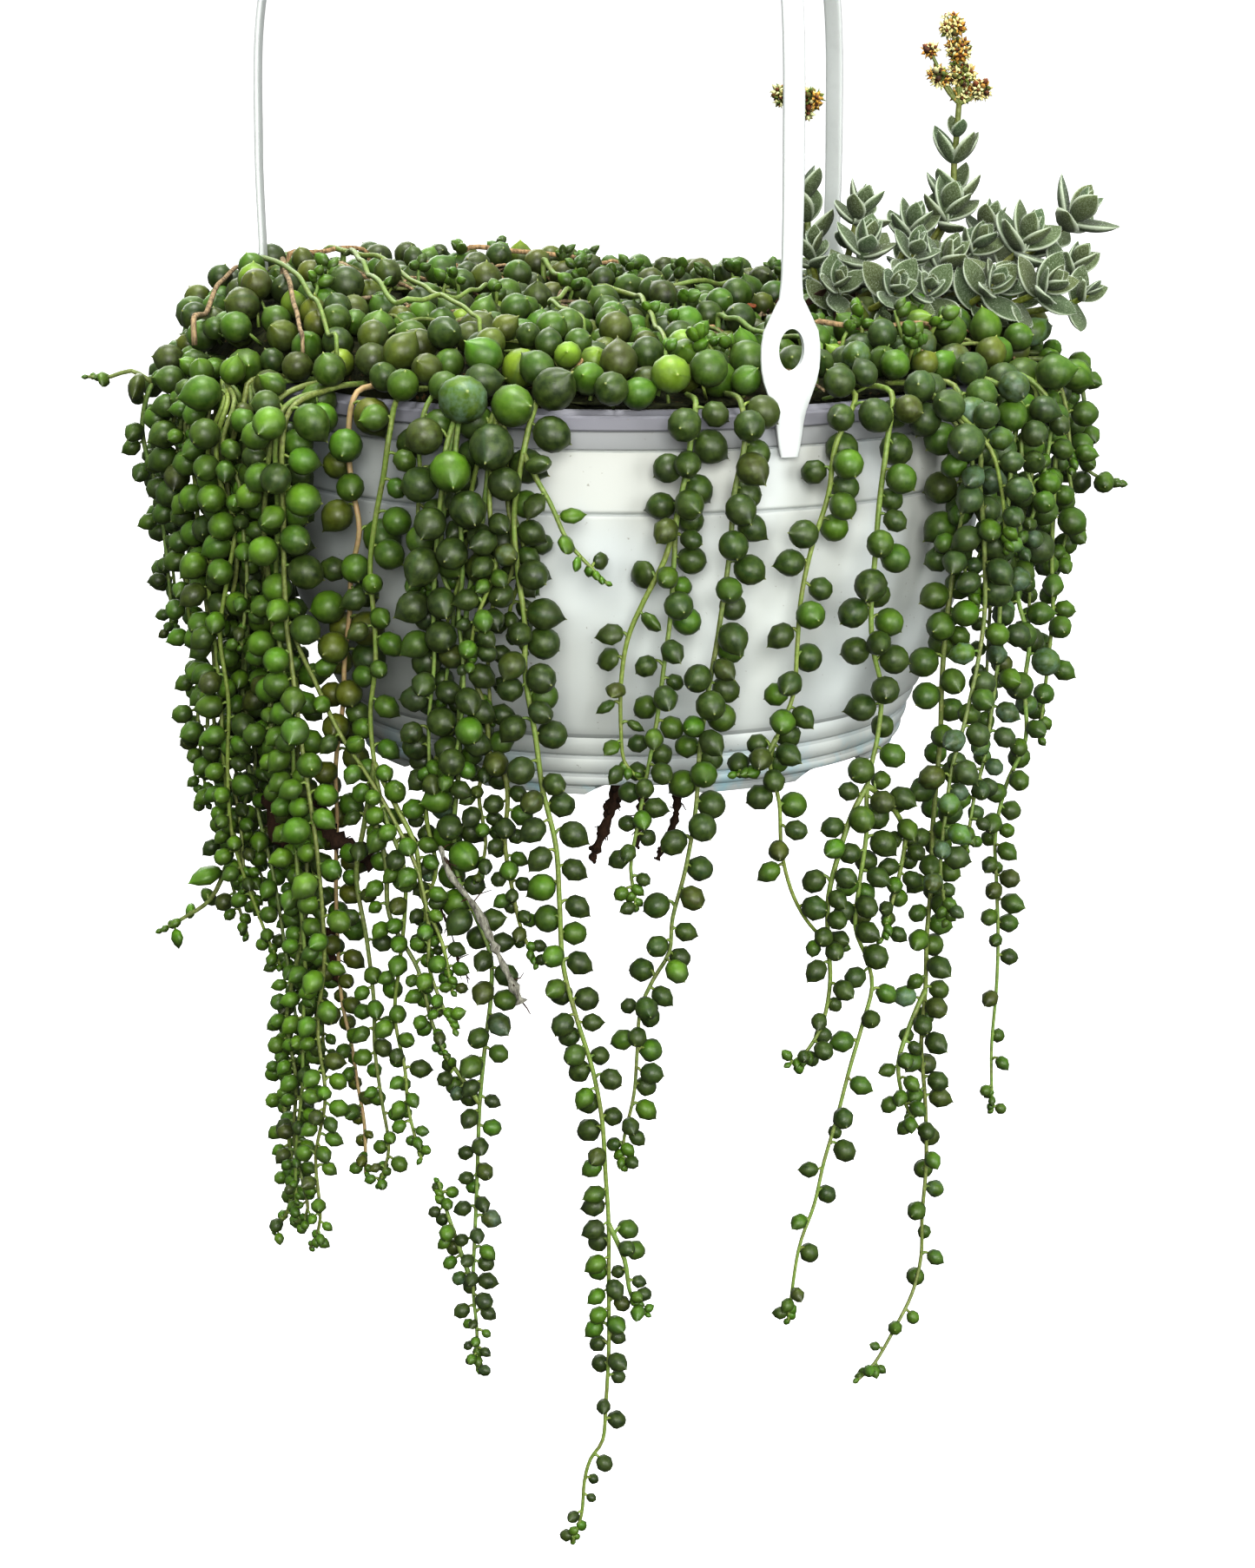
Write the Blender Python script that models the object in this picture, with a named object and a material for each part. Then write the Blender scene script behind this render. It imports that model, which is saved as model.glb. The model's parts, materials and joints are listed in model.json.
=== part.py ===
"""A hanging bowl of string of pearls with a small silver crassula in the same soil.

Metres, +Z up. The origin is where the hook bears on what it hangs from.
Sizes below are in millimetres, and heights of the pot and plants are measured from the rim plane,
the underside of the pot's lip. MM turns them into metres.
Bearings are degrees round the pot from its front, positive to the right.
"""
import math
import random

import bmesh
import bpy
from mathutils import Matrix, Vector

MM = 0.001
SEED = 11
GAP = 0.35
WELD = 0.000001

# Hanger
RIM_BELOW_HOOK = 350.0
HOOK_ROD = 2.6
HOOK_THROAT = 13.0
HUB_RADIUS = 15.0
HUB_TOP = -50.5
HUB_THICK = 3.5
HUB_SLOT_RADIUS = 9.5
ARM_BEARINGS = (23.0, 143.0, -97.0)
ARM_THICK = 1.8
ARM_HALF_WIDTH = 3.5
SPADE_HALF_WIDTH = 10.0
SPADE_HEIGHT = 23.5
SPADE_HOLE = 4.2

# Pot
POT_SIDES = 36
POT_TURN = 8.0
LIP_RADIUS = 125.0
LIP_INNER = 119.5
LIP_TOP = 6.0
WALL_RADIUS = 122.5
WALL_STRAIGHT = 10.0
WALL_FALL = 160.0
WALL_THICK = 2.4
GROOVE_DROP = 25.7
GROOVE_DEPTH = 0.8
RIDGE_DROPS = (100.0, 107.5, 113.9, 118.4)
RIDGE_RADII = (99.4, 96.8, 94.8, 93.4)
RIDGE_BULGE = 1.4
FOOT_RADIUS = 92.8
FOOT_DROP = 121.3
FLOOR_UNDER = 116.8
FLOOR_TOP = 114.4
NOTCHES = 8
NOTCH_BEARING = 3.0
NOTCH_TOP = 117.6
DRAINS = 8
DRAIN_RING = 60.0
DRAIN_RADIUS = 4.5

# Soil and the mat of pearls that covers it
SOIL_TOP = 1.0
MAT_RINGS = 15
MAT_FRONT = 128.0
MAT_LEFT_SPREAD = 21.0
MAT_RIGHT_SPREAD = 14.0
MAT_CROWN = 19.0
MAT_UNDER = 6.8
MAT_PLUG = 117.6
MAT_BUMP = 4.6
MAT_DENT = -1.0
MAT_PEARLS = 26
MAT_PEARL_SIZES = (4.2, 6.6)
WELL_CENTRE = (84.0, 10.0)
WELL_RADIUS = 27.0

# Strings of pearls
STEM_RADIUS = 1.2
STEM_TIP = 0.85
STEM_SIDES = 4
ROOT_DEPTH = 13.0
ROOT_HEIGHT = 9.8
HOLE_RADIUS = 2.3
PEARL_STEP = 33.0
PEARL_REACH = 1.25
PEARL_LONG = 1.1
PEARL_WIDE = 1.18
CLEAR = 0.6
SIMPLIFY = 2.3


def around(reach):
    """Hangs a route on the front of a cylinder round the pot."""
    return lambda x: -math.sqrt(max(reach * reach - x * x, 0.0))


def at_depth(depth):
    """Hangs a route in one upright plane."""
    return lambda x: depth


# Each vine: root bearing, where it hangs, thickest and thinnest pearl radius, then the route of its
# stem and of any branch, as places across and up from the rim. A branch starts on its stem.
VINES = [
    (-104, at_depth(15), (4.4, 3.6),
     [[(-157, -10), (-160, -29), (-160, -47), (-160, -65), (-159, -80)]]),
    (-87, at_depth(-25), (3.6, 2.8),
     [[(-158, 3), (-162, -10), (-161, -21), (-158, -33), (-156, -50), (-155, -68), (-154, -84)],
      [(-158, 3), (-165, 7), (-172, 5), (-180, 5)]]),
    (-80, at_depth(-50), (4.6, 4.0),
     [[(-143, 2), (-146, -11), (-145, -24), (-141, -37), (-138, -52)]]),
    (-72, at_depth(-66), (4.6, 3.0),
     [[(-134, 4), (-136, -14), (-135, -37), (-137, -60), (-135, -84), (-138, -106), (-135, -130),
       (-133, -152), (-127, -177)],
      [(-133, -152), (-139, -164), (-149, -171), (-156, -175)]]),
    (-65, at_depth(-86), (4.6, 3.0),
     [[(-125, 4), (-129, -8), (-128, -22), (-124, -35), (-127, -52), (-130, -70), (-128, -92),
       (-129, -114), (-128, -138), (-120, -165), (-114, -181)]]),
    (-59, around(141), (4.6, 2.8),
     [[(-119, 2), (-123, -19), (-121, -47), (-124, -77), (-127, -104), (-122, -131), (-116, -152),
       (-112, -177), (-109, -197), (-106, -220)],
      [(-109, -197), (-113, -211), (-115, -226), (-113, -242), (-112, -257), (-115, -270),
       (-121, -280)]]),
    (-54, around(135), (3.8, 3.4),
     [[(-109, 3), (-109, -12), (-107, -26), (-106, -39), (-105, -46)]]),
    (-49, around(144), (4.0, 3.0),
     [[(-110, 3), (-114, -18), (-115, -40), (-114, -51), (-108, -61), (-103, -72), (-98, -81),
       (-90, -96), (-81, -108), (-72, -122), (-65, -137), (-62, -153), (-62, -167), (-58, -179),
       (-54, -187)]]),
    (-44, around(152), (4.6, 2.8),
     [[(-104, 2), (-106, -31), (-106, -59), (-104, -80), (-102, -99), (-99, -121), (-97, -140),
       (-96, -168), (-99, -192), (-97, -215), (-101, -237), (-100, -258), (-104, -270)]]),
    (-39, around(134), (6.4, 2.8),
     [[(-86, -5), (-85, -20), (-83, -33), (-86, -47), (-87, -61), (-89, -75), (-90, -90), (-93, -110),
       (-93, -127), (-94, -148), (-94, -168), (-93, -189), (-90, -203), (-88, -217), (-86, -230),
       (-86, -247)]]),
    (-32, around(140), (4.8, 2.8),
     [[(-72, -2), (-74, -14), (-77, -28), (-79, -43), (-78, -61), (-78, -74), (-80, -89), (-79, -105),
       (-76, -121), (-70, -137), (-70, -152), (-72, -169), (-74, -187), (-71, -204), (-70, -218),
       (-66, -234)],
      [(-79, -105), (-83, -126), (-86, -143), (-83, -163), (-81, -183), (-81, -200), (-79, -217),
       (-77, -233), (-81, -247)]]),
    (-27, around(134), (4.6, 4.2),
     [[(-63, -2), (-63, -15), (-64, -28), (-63, -41), (-61, -50)]]),
    (-22, around(141), (7.4, 4.0),
     [[(-54, -3), (-56, -18), (-58, -38), (-59, -54), (-59, -70), (-61, -89), (-61, -109)]]),
    (-17, around(134), (7.8, 2.8),
     [[(-41, -5), (-43, -21), (-46, -38), (-49, -54), (-50, -70), (-52, -89), (-52, -103), (-54, -123),
       (-53, -140), (-48, -151), (-43, -164), (-43, -178), (-45, -194), (-47, -214), (-48, -235),
       (-49, -256), (-50, -277), (-49, -292), (-49, -307)],
      [(-52, -89), (-44, -97), (-38, -105), (-37, -114), (-38, -127), (-36, -141), (-33, -155),
       (-28, -166)],
      [(-47, -214), (-53, -206), (-60, -197)],
      [(-50, -277), (-54, -266), (-58, -254), (-61, -243)]]),
    (-12, around(138), (6.6, 3.0),
     [[(-31, -5), (-34, -24), (-33, -41), (-31, -57), (-31, -73), (-28, -92), (-26, -108), (-22, -126),
       (-21, -144), (-20, -164), (-16, -181), (-11, -198), (-8, -215), (-7, -232), (-6, -250),
       (-6, -271), (-6, -292), (-7, -313), (-8, -325), (-12, -332), (-14, -340), (-15, -352),
       (-18, -362)],
      [(-31, -5), (-27, -13), (-23, -20), (-18, -31), (-12, -38), (-6, -44)],
      [(-6, -250), (-1, -262), (1, -274), (6, -281)]]),
    (9, around(133), (5.4, 3.0),
     [[(19, 0), (18, -9), (15, -24), (14, -38), (13, -55), (11, -71), (9, -87), (6, -104), (3, -121),
       (1, -134), (3, -147)],
      [(15, -24), (11, -38), (5, -50), (0, -62), (-2, -76), (-2, -90), (-1, -100), (4, -106)]]),
    (15, around(134), (5.4, 3.4),
     [[(35, -3), (32, -18), (31, -34), (29, -50), (27, -64), (24, -82), (22, -98), (21, -115),
       (18, -134), (14, -150), (13, -161), (8, -170), (4, -180), (3, -194), (2, -208), (-1, -222),
       (-2, -232)]]),
    (32, around(134), (5.2, 3.8),
     [[(63, -5), (61, -20), (56, -36), (53, -51), (52, -66), (51, -81), (46, -94), (44, -103),
       (47, -115), (48, -131), (52, -146), (59, -158), (68, -165)],
      [(46, -94), (40, -104), (33, -105)]]),
    (38, around(138), (5.2, 3.2),
     [[(79, -5), (77, -23), (76, -39), (75, -56), (76, -69), (79, -82), (78, -97), (75, -112),
       (75, -128), (73, -144), (72, -158), (76, -169), (78, -179), (75, -191), (71, -205), (67, -221),
       (63, -235), (60, -249), (55, -264), (52, -288)],
      [(75, -112), (70, -121), (66, -133), (63, -146), (63, -160), (64, -174), (62, -187), (57, -196),
       (51, -200)],
      [(75, -112), (83, -120), (88, -130), (87, -141), (84, -153), (81, -164)]]),
    (44, around(150), (5.0, 3.6),
     [[(107, -5), (109, -20), (111, -37), (112, -59), (110, -76), (106, -94), (102, -108), (100, -124),
       (99, -141), (102, -158)]]),
    (50, around(136), (5.4, 2.8),
     [[(103, -3), (105, -19), (105, -35), (103, -49), (101, -66), (100, -84), (100, -102), (99, -117),
       (98, -134), (98, -151), (97, -168), (97, -186), (96, -204), (98, -225), (99, -247), (98, -265),
       (98, -280), (95, -292), (89, -302), (82, -312), (76, -316)],
      [(97, -186), (92, -196), (88, -208), (90, -221), (96, -234)]]),
    (58, around(141), (5.6, 3.4),
     [[(124, 0), (123, -15), (122, -30), (121, -47), (120, -64), (120, -81), (118, -97), (116, -111),
       (112, -125), (110, -141)]]),
    (66, at_depth(-58), (5.8, 2.8),
     [[(134, 2), (132, -13), (130, -29), (127, -47), (128, -64), (132, -78), (131, -93), (132, -111),
       (126, -127), (123, -144), (124, -162), (125, -180), (125, -198), (124, -220), (125, -242)]]),
    (75, at_depth(-34), (4.4, 3.6),
     [[(142, 0), (142, -25), (142, -54), (143, -72), (142, -90), (141, -103), (140, -117)]]),
    (83, at_depth(-10), (5.0, 4.4),
     [[(148, -1), (149, -22), (152, -40), (150, -52), (147, -62)]]),
    (91, at_depth(10), (4.6, 3.6),
     [[(156, -1), (158, -16), (157, -28), (164, -34), (171, -36)]]),
]

# Vines that hang round the back: root bearing, reach from the axis and length below the rim
BACK_VINES = [(102, 147, 92), (114, 146, 128), (126, 144, 74), (134, 143, 104), (153, 142, 150), (164, 144, 86),
              (176, 142, 118), (188, 144, 162), (200, 142, 78), (212, 144, 136), (225, 147, 100), (241, 152, 146)]

# Each crassula plant: place in the soil, middles of its rosettes, and the length of its leaves
CRASSULAS = [
    ((68, 8), [(80, 25, 56), (80, 0, 43), (88, -26, 33)], 15),
    ((84, 22), [(111, 34, 55), (107, -3, 39)], 16),
    ((99, 12), [(154, 26, 54), (134, 4, 44), (138, -24, 34)], 17),
]
# Each flower stalk: place in the soil, bends of the stalk, and the spread and height of its head
FLOWER_STALKS = [
    ((70, 26), [(64, 34, 34), (63, 40, 52), (60, 40, 72), (59, 40, 88)], (7.5, 9.0)),
    ((92, 30), [(112, 42, 52), (114, 42, 72), (115, 41, 92)], (10.5, 26.0)),
]
CRASSULA_STEM = 1.6
LEAF_PAIRS = 3
LEAF_WIDTH = 0.46
LEAF_THICK = 2.4
LEAF_FOOT = 2.2
STALK_LEAF = 11.0
# The core of a flower head: share of its height, and radius as a share of its spread
HEAD_CORE = ((-0.1, 0.1), (0.35, 0.5), (0.8, 0.65), (1.0, 0.3))

# Roots that hang from the front drain hole
DRAIN_ROOTS = [
    [(-1.5, -60, -112), (-2, -60, -120), (-4, -60, -130), (-8, -60, -142), (-12, -60, -152)],
    [(0.5, -60, -112), (2, -60, -120), (5, -60, -128), (4, -60, -137), (3, -60, -147)],
    [(0, -60, -112), (4, -60, -119.5), (15, -60, -124), (16, -60, -137), (10, -60, -152)],
]
ROOT_RADIUS = 1.3

# Colours, roughness and metallic value of each finish
FINISHES = {
    "pot_white": ((0.80, 0.82, 0.80), 0.38, 0.0),
    "hanger_white": ((0.86, 0.87, 0.86), 0.35, 0.0),
    "soil_dark": ((0.045, 0.030, 0.020), 0.95, 0.0),
    "pearl_green": ((0.085, 0.190, 0.045), 0.36, 0.0),
    "vine_green": ((0.110, 0.230, 0.060), 0.38, 0.0),
    "crassula_grey": ((0.290, 0.380, 0.300), 0.75, 0.0),
    "flower_cream": ((0.560, 0.520, 0.240), 0.70, 0.0),
    "root_brown": ((0.060, 0.035, 0.022), 0.90, 0.0),
}


def make_material(name, finish):
    """Makes one object's own material."""
    color, roughness, metallic = FINISHES[finish]
    material = bpy.data.materials.new(name + "_" + finish)
    material.use_nodes = True
    shader = material.node_tree.nodes["Principled BSDF"]
    shader.inputs["Base Color"].default_value = (*color, 1.0)
    shader.inputs["Roughness"].default_value = roughness
    shader.inputs["Metallic"].default_value = metallic
    return material


def make_object(name, verts, faces, collection=None):
    """Makes an object from points in millimetres, with its faces turned outwards."""
    mesh = bpy.data.meshes.new(name)
    mesh.from_pydata([Vector(v) * MM for v in verts], [], faces)
    shape = bmesh.new()
    shape.from_mesh(mesh)
    bmesh.ops.recalc_face_normals(shape, faces=shape.faces)
    shape.to_mesh(mesh)
    shape.free()
    obj = bpy.data.objects.new(name, mesh)
    (collection or bpy.context.scene.collection).objects.link(obj)
    return obj


def combine(obj, shapes, operation="UNION"):
    """Joins shapes to an object, or cuts them from it, with one Boolean on a collection."""
    if not shapes:
        return
    group = bpy.data.collections.new(obj.name + "_shapes")
    bpy.context.scene.collection.children.link(group)
    for index, (verts, faces) in enumerate(shapes):
        make_object("%s_shape_%d" % (obj.name, index), verts, faces, group)
    modifier = obj.modifiers.new("combine", "BOOLEAN")
    modifier.operation = operation
    modifier.solver = "EXACT"
    modifier.operand_type = "COLLECTION"
    modifier.collection = group
    graph = bpy.context.evaluated_depsgraph_get()
    mesh = bpy.data.meshes.new_from_object(obj.evaluated_get(graph))
    obj.modifiers.remove(modifier)
    obj.data = mesh
    for member in list(group.objects):
        bpy.data.objects.remove(member)
    bpy.data.collections.remove(group)
    tidy_mesh(mesh)


def bodies(shape):
    """The separate bodies of a mesh, each as a set of points, the largest first."""
    left = set(shape.verts)
    found = []
    while left:
        body, edge = set(), [left.pop()]
        while edge:
            point = edge.pop()
            body.add(point)
            near = [link.other_vert(point) for link in point.link_edges]
            fresh = [other for other in near if other in left]
            left.difference_update(fresh)
            edge += fresh
        found.append(body)
    return sorted(found, key=len, reverse=True)


def tidy_mesh(mesh):
    """Drops loose scraps, welds near-equal points and splits every face into triangles."""
    shape = bmesh.new()
    shape.from_mesh(mesh)
    for scrap in bodies(shape)[1:]:
        bmesh.ops.delete(shape, geom=list(scrap), context="VERTS")
    bmesh.ops.remove_doubles(shape, verts=shape.verts, dist=WELD)
    bmesh.ops.dissolve_degenerate(shape, edges=shape.edges, dist=WELD)
    bmesh.ops.triangulate(shape, faces=shape.faces)
    shape.to_mesh(mesh)
    shape.free()


def finish(obj, finish_name, smooth_angle=None):
    """Gives an object its material and, where it is round, smooth shading."""
    obj.data.materials.clear()
    obj.data.materials.append(make_material(obj.name, finish_name))
    if smooth_angle is not None:
        obj.data.shade_smooth()
        obj.data.set_sharp_from_angle(angle=math.radians(smooth_angle))
    return obj


def polar(radius, bearing, z):
    """A point from its distance to the axis, its bearing and its height."""
    turn = math.radians(bearing)
    return Vector((radius * math.sin(turn), -radius * math.cos(turn), z))


def bearing_of(point):
    return math.degrees(math.atan2(point.x, -point.y))


def lathe(profile, sides, turn):
    """A closed turned solid. The profile runs from the axis, round the section, back to the axis."""
    verts = [Vector((0, 0, profile[0][1])), Vector((0, 0, profile[-1][1]))]
    ring = profile[1:-1]
    for radius, z in ring:
        verts += [polar(radius, turn + 360.0 * i / sides, z) for i in range(sides)]
    faces = []
    for i in range(sides):
        j = (i + 1) % sides
        faces.append((0, 2 + i, 2 + j))
        last = 2 + (len(ring) - 1) * sides
        faces.append((1, last + j, last + i))
        for k in range(len(ring) - 1):
            a, b = 2 + k * sides, 2 + (k + 1) * sides
            faces.append((a + i, b + i, b + j, a + j))
    return verts, faces


def prism(outline, bottom, top, place):
    """A closed prism on an outline. Place turns each (u, v, height) into a point."""
    count = len(outline)
    verts = [place(u, v, bottom) for u, v in outline] + [place(u, v, top) for u, v in outline]
    faces = [tuple(range(count - 1, -1, -1)), tuple(range(count, 2 * count))]
    faces += [(i, (i + 1) % count, count + (i + 1) % count, count + i) for i in range(count)]
    return verts, faces


def circle(radius, sides, squash=1.0, rise=0.0):
    """Outline of a circle or an oval as (u, v) corners."""
    turns = [math.tau * k / sides for k in range(sides)]
    return [(radius * math.cos(turn), rise + radius * squash * math.sin(turn)) for turn in turns]


def oblong(half_width, half_height):
    """Outline of a rectangle as (u, v) corners."""
    return [(side * half_width, top * half_height) for side, top in ((-1, -1), (1, -1), (1, 1), (-1, 1))]


def upright(x, y):
    """Places a prism's outline round an upright axis."""
    return lambda u, v, h: Vector((x + u, y + v, h))


def facing(bearing, reach=None):
    """Places a prism's outline at a bearing: across and up when it points outwards, else across and out."""
    turn = Matrix.Rotation(math.radians(bearing), 3, "Z")
    if reach is None:
        return lambda u, v, h: turn @ Vector((u, -h, v))
    return lambda u, v, h: turn @ Vector((u, v - reach, h))


def smooth_path(points, step):
    """Points along a smooth curve through the given ones."""
    out = []
    last = len(points) - 1
    for i in range(last):
        start, end = points[i], points[i + 1]
        before, after = points[max(i - 1, 0)], points[min(i + 2, last)]
        count = max(1, round((end - start).length / step))
        for k in range(count):
            t = k / count
            bend = 2 * before - 5 * start + 4 * end - after
            twist = 3 * start - before - 3 * end + after
            out.append(0.5 * (2 * start + (end - before) * t + bend * t * t + twist * t ** 3))
    return out + [points[-1]]


def simplify(path, tolerance):
    """Drops the points of a path that lie within a tolerance of the straight line past them."""
    if len(path) < 3:
        return path
    line = (path[-1] - path[0]).normalized()
    offs = [((p - path[0]) - line * (p - path[0]).dot(line)).length for p in path]
    worst = max(range(len(path)), key=lambda i: offs[i])
    if offs[worst] < tolerance:
        return [path[0], path[-1]]
    return simplify(path[:worst + 1], tolerance)[:-1] + simplify(path[worst:], tolerance)


def skin(rings, sides):
    """A closed solid through rings, each given as a place on its middle line, a centre and a radius."""
    verts = []
    side = None
    for i, (place, centre, radius) in enumerate(rings):
        ahead = (rings[min(i + 1, len(rings) - 1)][0] - rings[max(i - 1, 0)][0]).normalized()
        guide = side if side else Vector((0.31, 0.17, 0.93)).cross(ahead)
        side = (guide - ahead * guide.dot(ahead)).normalized()
        across = ahead.cross(side)
        for k in range(sides):
            turn = 2 * math.pi * k / sides
            verts.append(centre + (side * math.cos(turn) + across * math.sin(turn)) * radius)
    faces = [tuple(range(sides - 1, -1, -1)), tuple(range(len(verts) - sides, len(verts)))]
    for i in range(len(rings) - 1):
        a, b = i * sides, (i + 1) * sides
        faces += [(a + k, a + (k + 1) % sides, b + (k + 1) % sides, b + k) for k in range(sides)]
    return verts, faces


def tube(path, start_radius, end_radius, sides):
    """A closed tapering tube along a path."""
    taper = (end_radius - start_radius) / (len(path) - 1)
    return skin([(point, point, start_radius + taper * i) for i, point in enumerate(path)], sides)


def spindle(centre, tip_way, radius, back, front, sides=4):
    """A pointed bead: a ring of corners with a root point behind it and a tip before it."""
    tip_way = tip_way.normalized()
    side = tip_way.orthogonal().normalized()
    across = tip_way.cross(side)
    verts = [centre - tip_way * back, centre + tip_way * front]
    for k in range(sides):
        turn = 2 * math.pi * k / sides
        verts.append(centre + (side * math.cos(turn) + across * math.sin(turn)) * radius)
    faces = []
    for k in range(sides):
        a, b = 2 + k, 2 + (k + 1) % sides
        faces += [(0, b, a), (1, a, b)]
    return verts, faces


def pearl(centre, tip_way, radius):
    return spindle(centre, tip_way, radius * 1.12, radius * 1.05, radius * PEARL_REACH)


def wall_radius(z):
    """The pot wall's outer radius: straight below the collar, then an elliptical bowl."""
    below = max(0.0, -WALL_STRAIGHT - z)
    return WALL_RADIUS * math.sqrt(1.0 - (below / WALL_FALL) ** 2)


def pot_reach(z):
    """The radius that a hanging vine has to stay outside of."""
    if z > LIP_TOP + 1 or z < -FOOT_DROP - 1:
        return 0.0
    return LIP_RADIUS if z > -1.0 else wall_radius(max(z, -RIDGE_DROPS[0])) + RIDGE_BULGE


def inner_profile(gap):
    """The pot's inside from the lip down to the floor, drawn in by a gap."""
    drops = (2.0, 40.0, 72.0)
    wall = [(wall_radius(-drop) - WALL_THICK - gap, -drop) for drop in drops]
    return wall + [(RIDGE_RADII[2] - WALL_THICK - gap, -FLOOR_TOP + gap)]


def make_pot():
    """Bowl with a stepped lip, a collar, a groove, three ridges low down and a notched foot ring."""
    outer = [(FOOT_RADIUS - 2.5, -FLOOR_UNDER), (FOOT_RADIUS - 2.5, -FOOT_DROP), (FOOT_RADIUS, -FOOT_DROP)]
    for i in range(3, 0, -1):
        middle = (RIDGE_RADII[i] + RIDGE_RADII[i - 1]) / 2 + RIDGE_BULGE
        outer += [(RIDGE_RADII[i], -RIDGE_DROPS[i]), (middle, -(RIDGE_DROPS[i] + RIDGE_DROPS[i - 1]) / 2)]
    outer.append((RIDGE_RADII[0], -RIDGE_DROPS[0]))
    outer += [(wall_radius(-drop), -drop) for drop in (86.0, 62.0, 42.0)]
    for drop, cut in ((GROOVE_DROP + 0.8, 0), (GROOVE_DROP, GROOVE_DEPTH), (GROOVE_DROP - 0.8, 0)):
        outer.append((wall_radius(-drop) - cut, -drop))
    outer += [(WALL_RADIUS, -WALL_STRAIGHT), (WALL_RADIUS, 0.0), (LIP_RADIUS, 0.0),
              (LIP_RADIUS, LIP_TOP - 1.8), (LIP_RADIUS - 1.2, LIP_TOP), (LIP_INNER, LIP_TOP)]
    profile = [(0, -FLOOR_UNDER)] + outer + inner_profile(0.0) + [(0, -FLOOR_TOP)]
    pot = make_object("pot", *lathe(profile, POT_SIDES, POT_TURN))
    cutters = []
    for i in range(NOTCHES):
        outline = [(-21, -FOOT_DROP - 2), (21, -FOOT_DROP - 2), (14, -NOTCH_TOP), (-14, -NOTCH_TOP)]
        cutters.append(prism(outline, 84.0, 100.0, facing(NOTCH_BEARING + 360.0 * i / NOTCHES)))
    for i in range(DRAINS):
        middle = polar(DRAIN_RING, 360.0 * i / DRAINS, 0)
        hole = circle(DRAIN_RADIUS, 6)
        cutters.append(prism(hole, -FLOOR_UNDER - 2, -FLOOR_TOP + 2, upright(middle.x, middle.y)))
    combine(pot, cutters, "DIFFERENCE")
    return finish(pot, "pot_white", 30)


def make_soil():
    """Soil that fills the pot, with plain holes for the crassula's stems and the hanging roots."""
    rim = WALL_RADIUS - WALL_THICK - GAP - 0.6
    profile = [(0, SOIL_TOP), (rim, SOIL_TOP)] + inner_profile(GAP) + [(0, -FLOOR_TOP + GAP)]
    soil = make_object("soil", *lathe(profile, POT_SIDES, POT_TURN))
    cutters = []
    for x, y in [entry[0] for entry in CRASSULAS + FLOWER_STALKS]:
        cutters.append(prism(circle(CRASSULA_STEM + 0.6, 6), SOIL_TOP - 10.0, SOIL_TOP + 3.0, upright(x, y)))
    hole = circle(DRAIN_RADIUS - 0.5, 6)
    cutters.append(prism(hole, -FLOOR_TOP - 2, -FLOOR_TOP + 6, upright(0, -DRAIN_RING)))
    combine(soil, cutters, "DIFFERENCE")
    return finish(soil, "soil_dark", 40)


def make_hook():
    """Hub disc with three slots, and the hook that rises from it. Heights from the origin."""
    low = HUB_TOP - HUB_THICK
    profile = [(0, low), (HUB_RADIUS - 1, low), (HUB_RADIUS, low + 1), (HUB_RADIUS, HUB_TOP - 1),
               (HUB_RADIUS - 1, HUB_TOP), (5.0, HUB_TOP), (3.4, HUB_TOP + 4), (0, HUB_TOP + 4)]
    hook = make_object("hanger_hook", *lathe(profile, 18, 0))
    bend = HOOK_THROAT + HOOK_ROD
    path = [Vector((0, 0, z)) for z in (HUB_TOP + 1, -37)] + [Vector((7, 0, -31)), Vector((13.6, 0, -23))]
    for step in range(8):
        turn = math.pi * step / 7
        path.append(Vector((bend * math.cos(turn), 0, -HOOK_THROAT + bend * math.sin(turn))))
    path.append(Vector((-bend + 0.6, 0, -HOOK_THROAT - 7)))
    combine(hook, [tube(path, HOOK_ROD, HOOK_ROD, 6)])
    slots = []
    for bearing in ARM_BEARINGS:
        slot = oblong(ARM_HALF_WIDTH + 0.4, ARM_THICK / 2 + 0.5)
        slots.append(prism(slot, low - 2, HUB_TOP + 2, facing(bearing, HUB_SLOT_RADIUS)))
    combine(hook, slots, "DIFFERENCE")
    return finish(hook, "hanger_white", 40)


def lip_facet():
    """The distance from the axis to the middle of the lip's flat facets, where the clips sit."""
    return LIP_RADIUS * math.cos(math.pi / POT_SIDES)


def arm_sections():
    """Middle line and half width of an arm, from its clip to its head: radius, height, half width."""
    low = lip_facet() + GAP + ARM_THICK / 2
    hub = RIM_BELOW_HOOK + HUB_TOP
    foot = [(low, -9, 3.2), (low, -4, 4.0), (low, 5, 5.5), (low, 14, 9.2), (low, 22, SPADE_HALF_WIDTH),
            (low, 30, 8.6), (low, 38, 4.4), (low, 44, ARM_HALF_WIDTH)]
    bow = [(low + 0.4, 80), (low - 2, 125), (low - 14, 170), (low - 38, 212), (low - 68, 245), (low - 96, 268),
           (18, 284), (HUB_SLOT_RADIUS + 1.2, hub - HUB_THICK - 4), (HUB_SLOT_RADIUS, hub - HUB_THICK),
           (HUB_SLOT_RADIUS, hub + 2.5)]
    return foot + [(radius, z, ARM_HALF_WIDTH) for radius, z in bow]


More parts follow.
